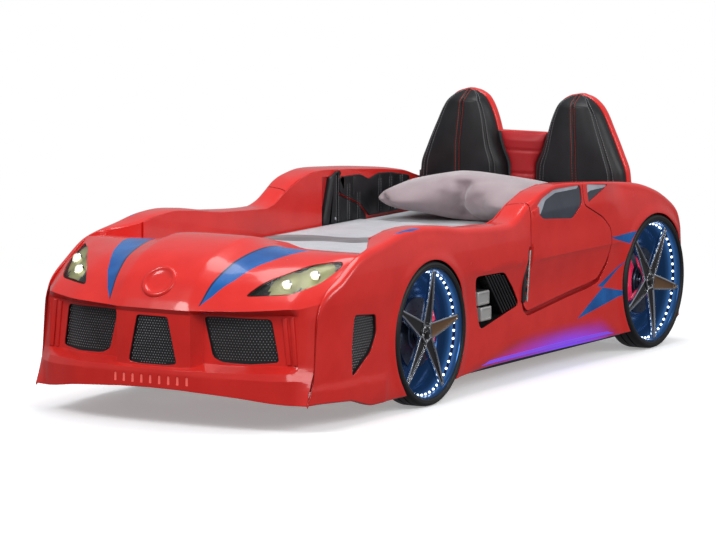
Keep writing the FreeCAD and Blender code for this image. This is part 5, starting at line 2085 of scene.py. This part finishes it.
@dataclass(frozen=True)
class Pillow:
    """Large velvet pillow that leans on the headboard."""

    width: float = 0.69
    depth: float = 0.45
    columns: int = 64
    rows: int = 44
    frames: int = 26
    lean: float = 10.0
    loft: float = 0.03

    def flat(self, u: float, v: float, side: float) -> Vector:
        """A point of the sewn case before it is filled.

        Args:
            u: across, from 0 to 1.
            v: along, from 0 to 1.
            side: 1 for the top, -1 below.

        Returns:
            The point in metres.
        """
        a, b = 2 * u - 1, 2 * v - 1
        corner = 1 - 0.17 * (abs(a) ** 4) * (abs(b) ** 4)
        swell = side * 0.012 * (1 - a ** 4) * (1 - b ** 4)
        return Vector((a * self.width / 2 * corner, b * self.depth / 2 * corner, swell))

    def filled(self, u: float, v: float, side: float) -> Vector:
        """A point of the filled pillow, without a simulation.

        Args:
            u: across, from 0 to 1.
            v: along, from 0 to 1.
            side: 1 for the top, -1 below.

        Returns:
            The point in metres.
        """
        a, b = 2 * u - 1, 2 * v - 1
        rise = max(0.0, (1 - abs(a) ** 2.6) * (1 - abs(b) ** 2.6)) ** 0.55
        pull = 1 - 0.07 * (1 - abs(a) ** 2) * abs(b) ** 6 - 0.05 * (1 - abs(b) ** 2) * abs(a) ** 6
        crease = 0.004 * math.sin(14 * a + 3 * b) * abs(a * b) * (1 - rise)
        return Vector((a * self.width / 2 * pull, b * self.depth / 2 * pull,
                       side * (0.075 * rise + 0.0004) + crease))

    def case(self, quick: bool) -> Mesh:
        """The closed case, blown up by a cloth simulation.

        Args:
            quick: takes a formula for the shape instead.

        Returns:
            The case.
        """
        shape = self.filled if quick else self.flat
        bm = closed_pad(self.columns, self.rows, lambda u, v: shape(u, v, 1.0),
                        lambda u, v: shape(u, v, -1.0))
        if quick:
            return bm
        mesh = bpy.data.meshes.new("pillow_case")
        bm.to_mesh(mesh)
        bm.free()
        obj = bpy.data.objects.new("pillow_case", mesh)
        scene = bpy.context.scene
        scene.collection.objects.link(obj)
        cloth = obj.modifiers.new("cloth", "CLOTH")
        cloth.settings.use_pressure = True
        cloth.settings.uniform_pressure_force = 8.0
        cloth.settings.quality = 6
        cloth.settings.mass = 0.35
        cloth.settings.tension_stiffness = 26
        cloth.settings.compression_stiffness = 26
        cloth.settings.bending_stiffness = 0.4
        cloth.settings.effector_weights.gravity = 0.0
        cloth.point_cache.frame_start = 1
        cloth.point_cache.frame_end = self.frames
        for frame_no in range(1, self.frames + 1):
            scene.frame_set(frame_no)
        graph = bpy.context.evaluated_depsgraph_get()
        result = bmesh.new()
        result.from_object(obj, graph)
        scene.frame_set(1)
        bpy.data.objects.remove(obj)
        bpy.data.meshes.remove(mesh)
        return result

    def build(self) -> None:
        """Sizes the case to its room and lays it against the headboard."""
        bm = self.case(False)
        for _ in range(5):
            bmesh.ops.smooth_vert(bm, verts=list(bm.verts), factor=0.5, use_axis_x=True,
                                  use_axis_y=True, use_axis_z=True)
        low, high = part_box("pillow")
        high.z += self.loft
        placed(bm, Matrix.Rotation(math.radians(self.lean), 4, "X"))
        for _ in range(2):
            co = [v.co for v in bm.verts]
            a = Vector([min(c[k] for c in co) for k in range(3)])
            b = Vector([max(c[k] for c in co) for k in range(3)])
            scale = [(high[k] - low[k] - 0.002) / (b[k] - a[k]) for k in range(3)]
            for v in bm.verts:
                v.co = Vector([(v.co[k] - (a[k] + b[k]) / 2) * scale[k] for k in range(3)])
        middle = (low + high) / 2
        drop = min(v.co.z for v in bm.verts) + (high.z - low.z) / 2
        for v in bm.verts:
            v.co += middle - Vector((0, 0, drop - 0.0008))
        obj = piece("pillow", bm, VELVET, crease=80)
        soft = obj.modifiers.new("smooth", "SUBSURF")
        soft.levels = soft.render_levels = 1


class Carcass:
    """Boards, rails, slats, legs and metalwork, whose shapes come from the frame."""

    PARTS: tuple[tuple[Finish, tuple[str, ...]], ...] = (
        (RED, ("side_liner_right", "side_liner_left")),
        (RED_BOARD_AND_SHADE, ("door_core_right", "door_core_left", "front_board")),
        (LAMINATE, ("side_board_right", "side_board_left", "hinge_posts")),
        (PINE, ("bed_rails", "slats", "legs")),
        (STEEL, ("hinge_leaves_fixed", "hinge_pins", "hinge_leaf_door_right",
                 "hinge_leaf_door_left")),
        (BLACK, ("rear_panel", "power_box")),
        (VIOLET, ("sill_lights",)),
    )

    def build(self) -> None:
        """Gives each of these nodes its finish."""
        for finish, names in self.PARTS:
            dress(finish, *names)


# ---- studio
@dataclass(frozen=True)
class Studio:
    """White studio, soft lights and the camera.

    Attributes:
        azimuth: camera's angle round the bed, in degrees.
        pitch: how far it looks down.
        roll: its turn about the view.
        focal: focal length in picture widths.
        sensor: width of the picture in the camera, in millimetres.
        place: where the camera stands, in metres.
    """

    azimuth: float = 29.54
    pitch: float = 6.96
    roll: float = 0.29
    focal: float = 5112 / 716
    sensor: float = 36.0
    place: tuple[float, float, float] = (9.18, -16.26, 2.668)

    def build(self) -> None:
        """Sets floor, world, lights and camera up."""
        self.floor()
        self.world()
        self.light("key", (-1.6, -5.2, 4.2), 1.9, 165)
        self.light("fill", (4.4, -3.6, 3.0), 2.4, 130)
        self.light("top", (0.2, 0.4, 5.0), 2.6, 130)
        self.light("flank", (5.0, 1.6, 2.6), 1.8, 90)
        bpy.context.scene.camera = self.camera()

    def floor(self) -> None:
        """A pale floor that keeps the bed's shadow."""
        bm = bmesh.new()
        bmesh.ops.create_grid(bm, x_segments=1, y_segments=1, size=30.0)
        mesh = bpy.data.meshes.new("floor")
        bm.to_mesh(mesh)
        bm.free()
        mat = bpy.data.materials.new("studio floor")
        mat.use_nodes = True
        made = Shading(mat.node_tree)
        shader = mat.node_tree.nodes["Principled BSDF"]
        where = made.add("TexCoord", "Object")
        noise = made.add("TexNoise", "Fac", {"Scale": 3.0, "Vector": where})
        rough = made.add("MapRange", "Result", {"To Min": 0.55, "To Max": 0.62, "Value": noise})
        made.put(shader, {"Roughness": rough, "Base Color": (0.93, 0.93, 0.94, 1),
                          "Emission Color": WHITE, "Emission Strength": 0.3})
        self.fade(made, where, shader)
        mesh.materials.append(mat)
        floor = bpy.data.objects.new("floor", mesh)
        bpy.context.scene.collection.objects.link(floor)
        floor.location = (0, 0, -0.0005)

    @staticmethod
    def fade(made: Shading, where: Socket, shader: bpy.types.Node) -> None:
        """Lets the floor go over into plain white away from the bed, to the camera only.

        Args:
            made: the floor material's nodes.
            where: the place on the floor.
            shader: the floor's own shader.
        """
        away = made.add("VectorMath", "Value", {0: where}, operation="LENGTH")
        ramp = made.add("MapRange", "Result", {"From Min": 1.7, "From Max": 4.2, "Value": away},
                        interpolation_type="SMOOTHSTEP")
        seen = made.add("LightPath", "Is Camera Ray")
        far = made.add("Math", "Value", {0: ramp, 1: seen}, operation="MULTIPLY")
        white = made.add("Emission", "Emission", {"Color": WHITE, "Strength": 1.0})
        grey = made.add("Emission", "Emission", {"Color": (0.16, 0.16, 0.17, 1)})
        near = made.add("MixShader", "Shader", {"Fac": seen, 1: grey, 2: shader.outputs["BSDF"]})
        mix = made.add("MixShader", "Shader", {"Fac": far, 1: near, 2: white})
        made.put(made.tree.nodes["Material Output"], {"Surface": mix})

    @staticmethod
    def world() -> None:
        """White to the camera, softer grey to everything else."""
        world = bpy.data.worlds.new("studio")
        world.use_nodes = True
        world.node_tree.nodes.clear()
        made = Shading(world.node_tree)
        seen = made.add("Background", "Background", {"Color": WHITE, "Strength": 1.0})
        around = made.add("Background", "Background", {"Color": (0.92, 0.95, 1.0, 1),
                                                       "Strength": 0.4})
        camera = made.add("LightPath", "Is Camera Ray")
        mix = made.add("MixShader", "Shader", {"Fac": camera, 1: around, 2: seen})
        made.put(world.node_tree.nodes.new("ShaderNodeOutputWorld"), {"Surface": mix})
        bpy.context.scene.world = world
        bpy.context.scene.view_settings.view_transform = "Standard"

    @staticmethod
    def light(name: str, place: tuple[float, float, float], size: float, power: float) -> None:
        """A soft square light that faces the bed.

        Args:
            name: the light's name.
            place: where it stands.
            size: its side in metres.
            power: in watts.
        """
        data = bpy.data.lights.new(name, "AREA")
        data.shape = "SQUARE"
        data.size = size
        data.energy = power
        lamp = bpy.data.objects.new(name, data)
        bpy.context.scene.collection.objects.link(lamp)
        lamp.location = place
        aim = Vector((0.0, 0.1, 0.35)) - Vector(place)
        lamp.rotation_euler = aim.to_track_quat("-Z", "Y").to_euler()

    def camera(self) -> bpy.types.Object:
        """The camera at the photo's place and angle.

        Returns:
            The camera.
        """
        a, e, r = (math.radians(k) for k in (self.azimuth, self.pitch, self.roll))
        back = Vector((math.sin(a) * math.cos(e), -math.cos(a) * math.cos(e), math.sin(e)))
        right = Vector((math.cos(a), math.sin(a), 0))
        up = back.cross(right)
        x = right * math.cos(r) + up * math.sin(r)
        y = up * math.cos(r) - right * math.sin(r)
        data = bpy.data.cameras.new("camera")
        data.sensor_fit = "HORIZONTAL"
        data.sensor_width = self.sensor
        data.lens = self.focal * self.sensor
        data.clip_end = 200.0
        obj = bpy.data.objects.new("camera", data)
        bpy.context.scene.collection.objects.link(obj)
        obj.matrix_world = Matrix((
            (x.x, y.x, back.x, self.place[0]), (x.y, y.y, back.y, self.place[1]),
            (x.z, y.z, back.z, self.place[2]), (0, 0, 0, 1)))
        return obj


def main() -> None:
    """Builds every sub-assembly in order."""
    logging.basicConfig(level=logging.INFO, format="%(message)s")
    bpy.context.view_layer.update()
    BodySide().build()
    FrontMoulding().build()
    Wheels().build()
    Carcass().build()
    Headboard().build()
    SeatBack().build()
    SidePads().build()
    Mattress().build()
    Cover().build(bpy.data.objects["mattress"])
    Pillow().build()
    Studio().build()


if __name__ == "__main__":
    main()
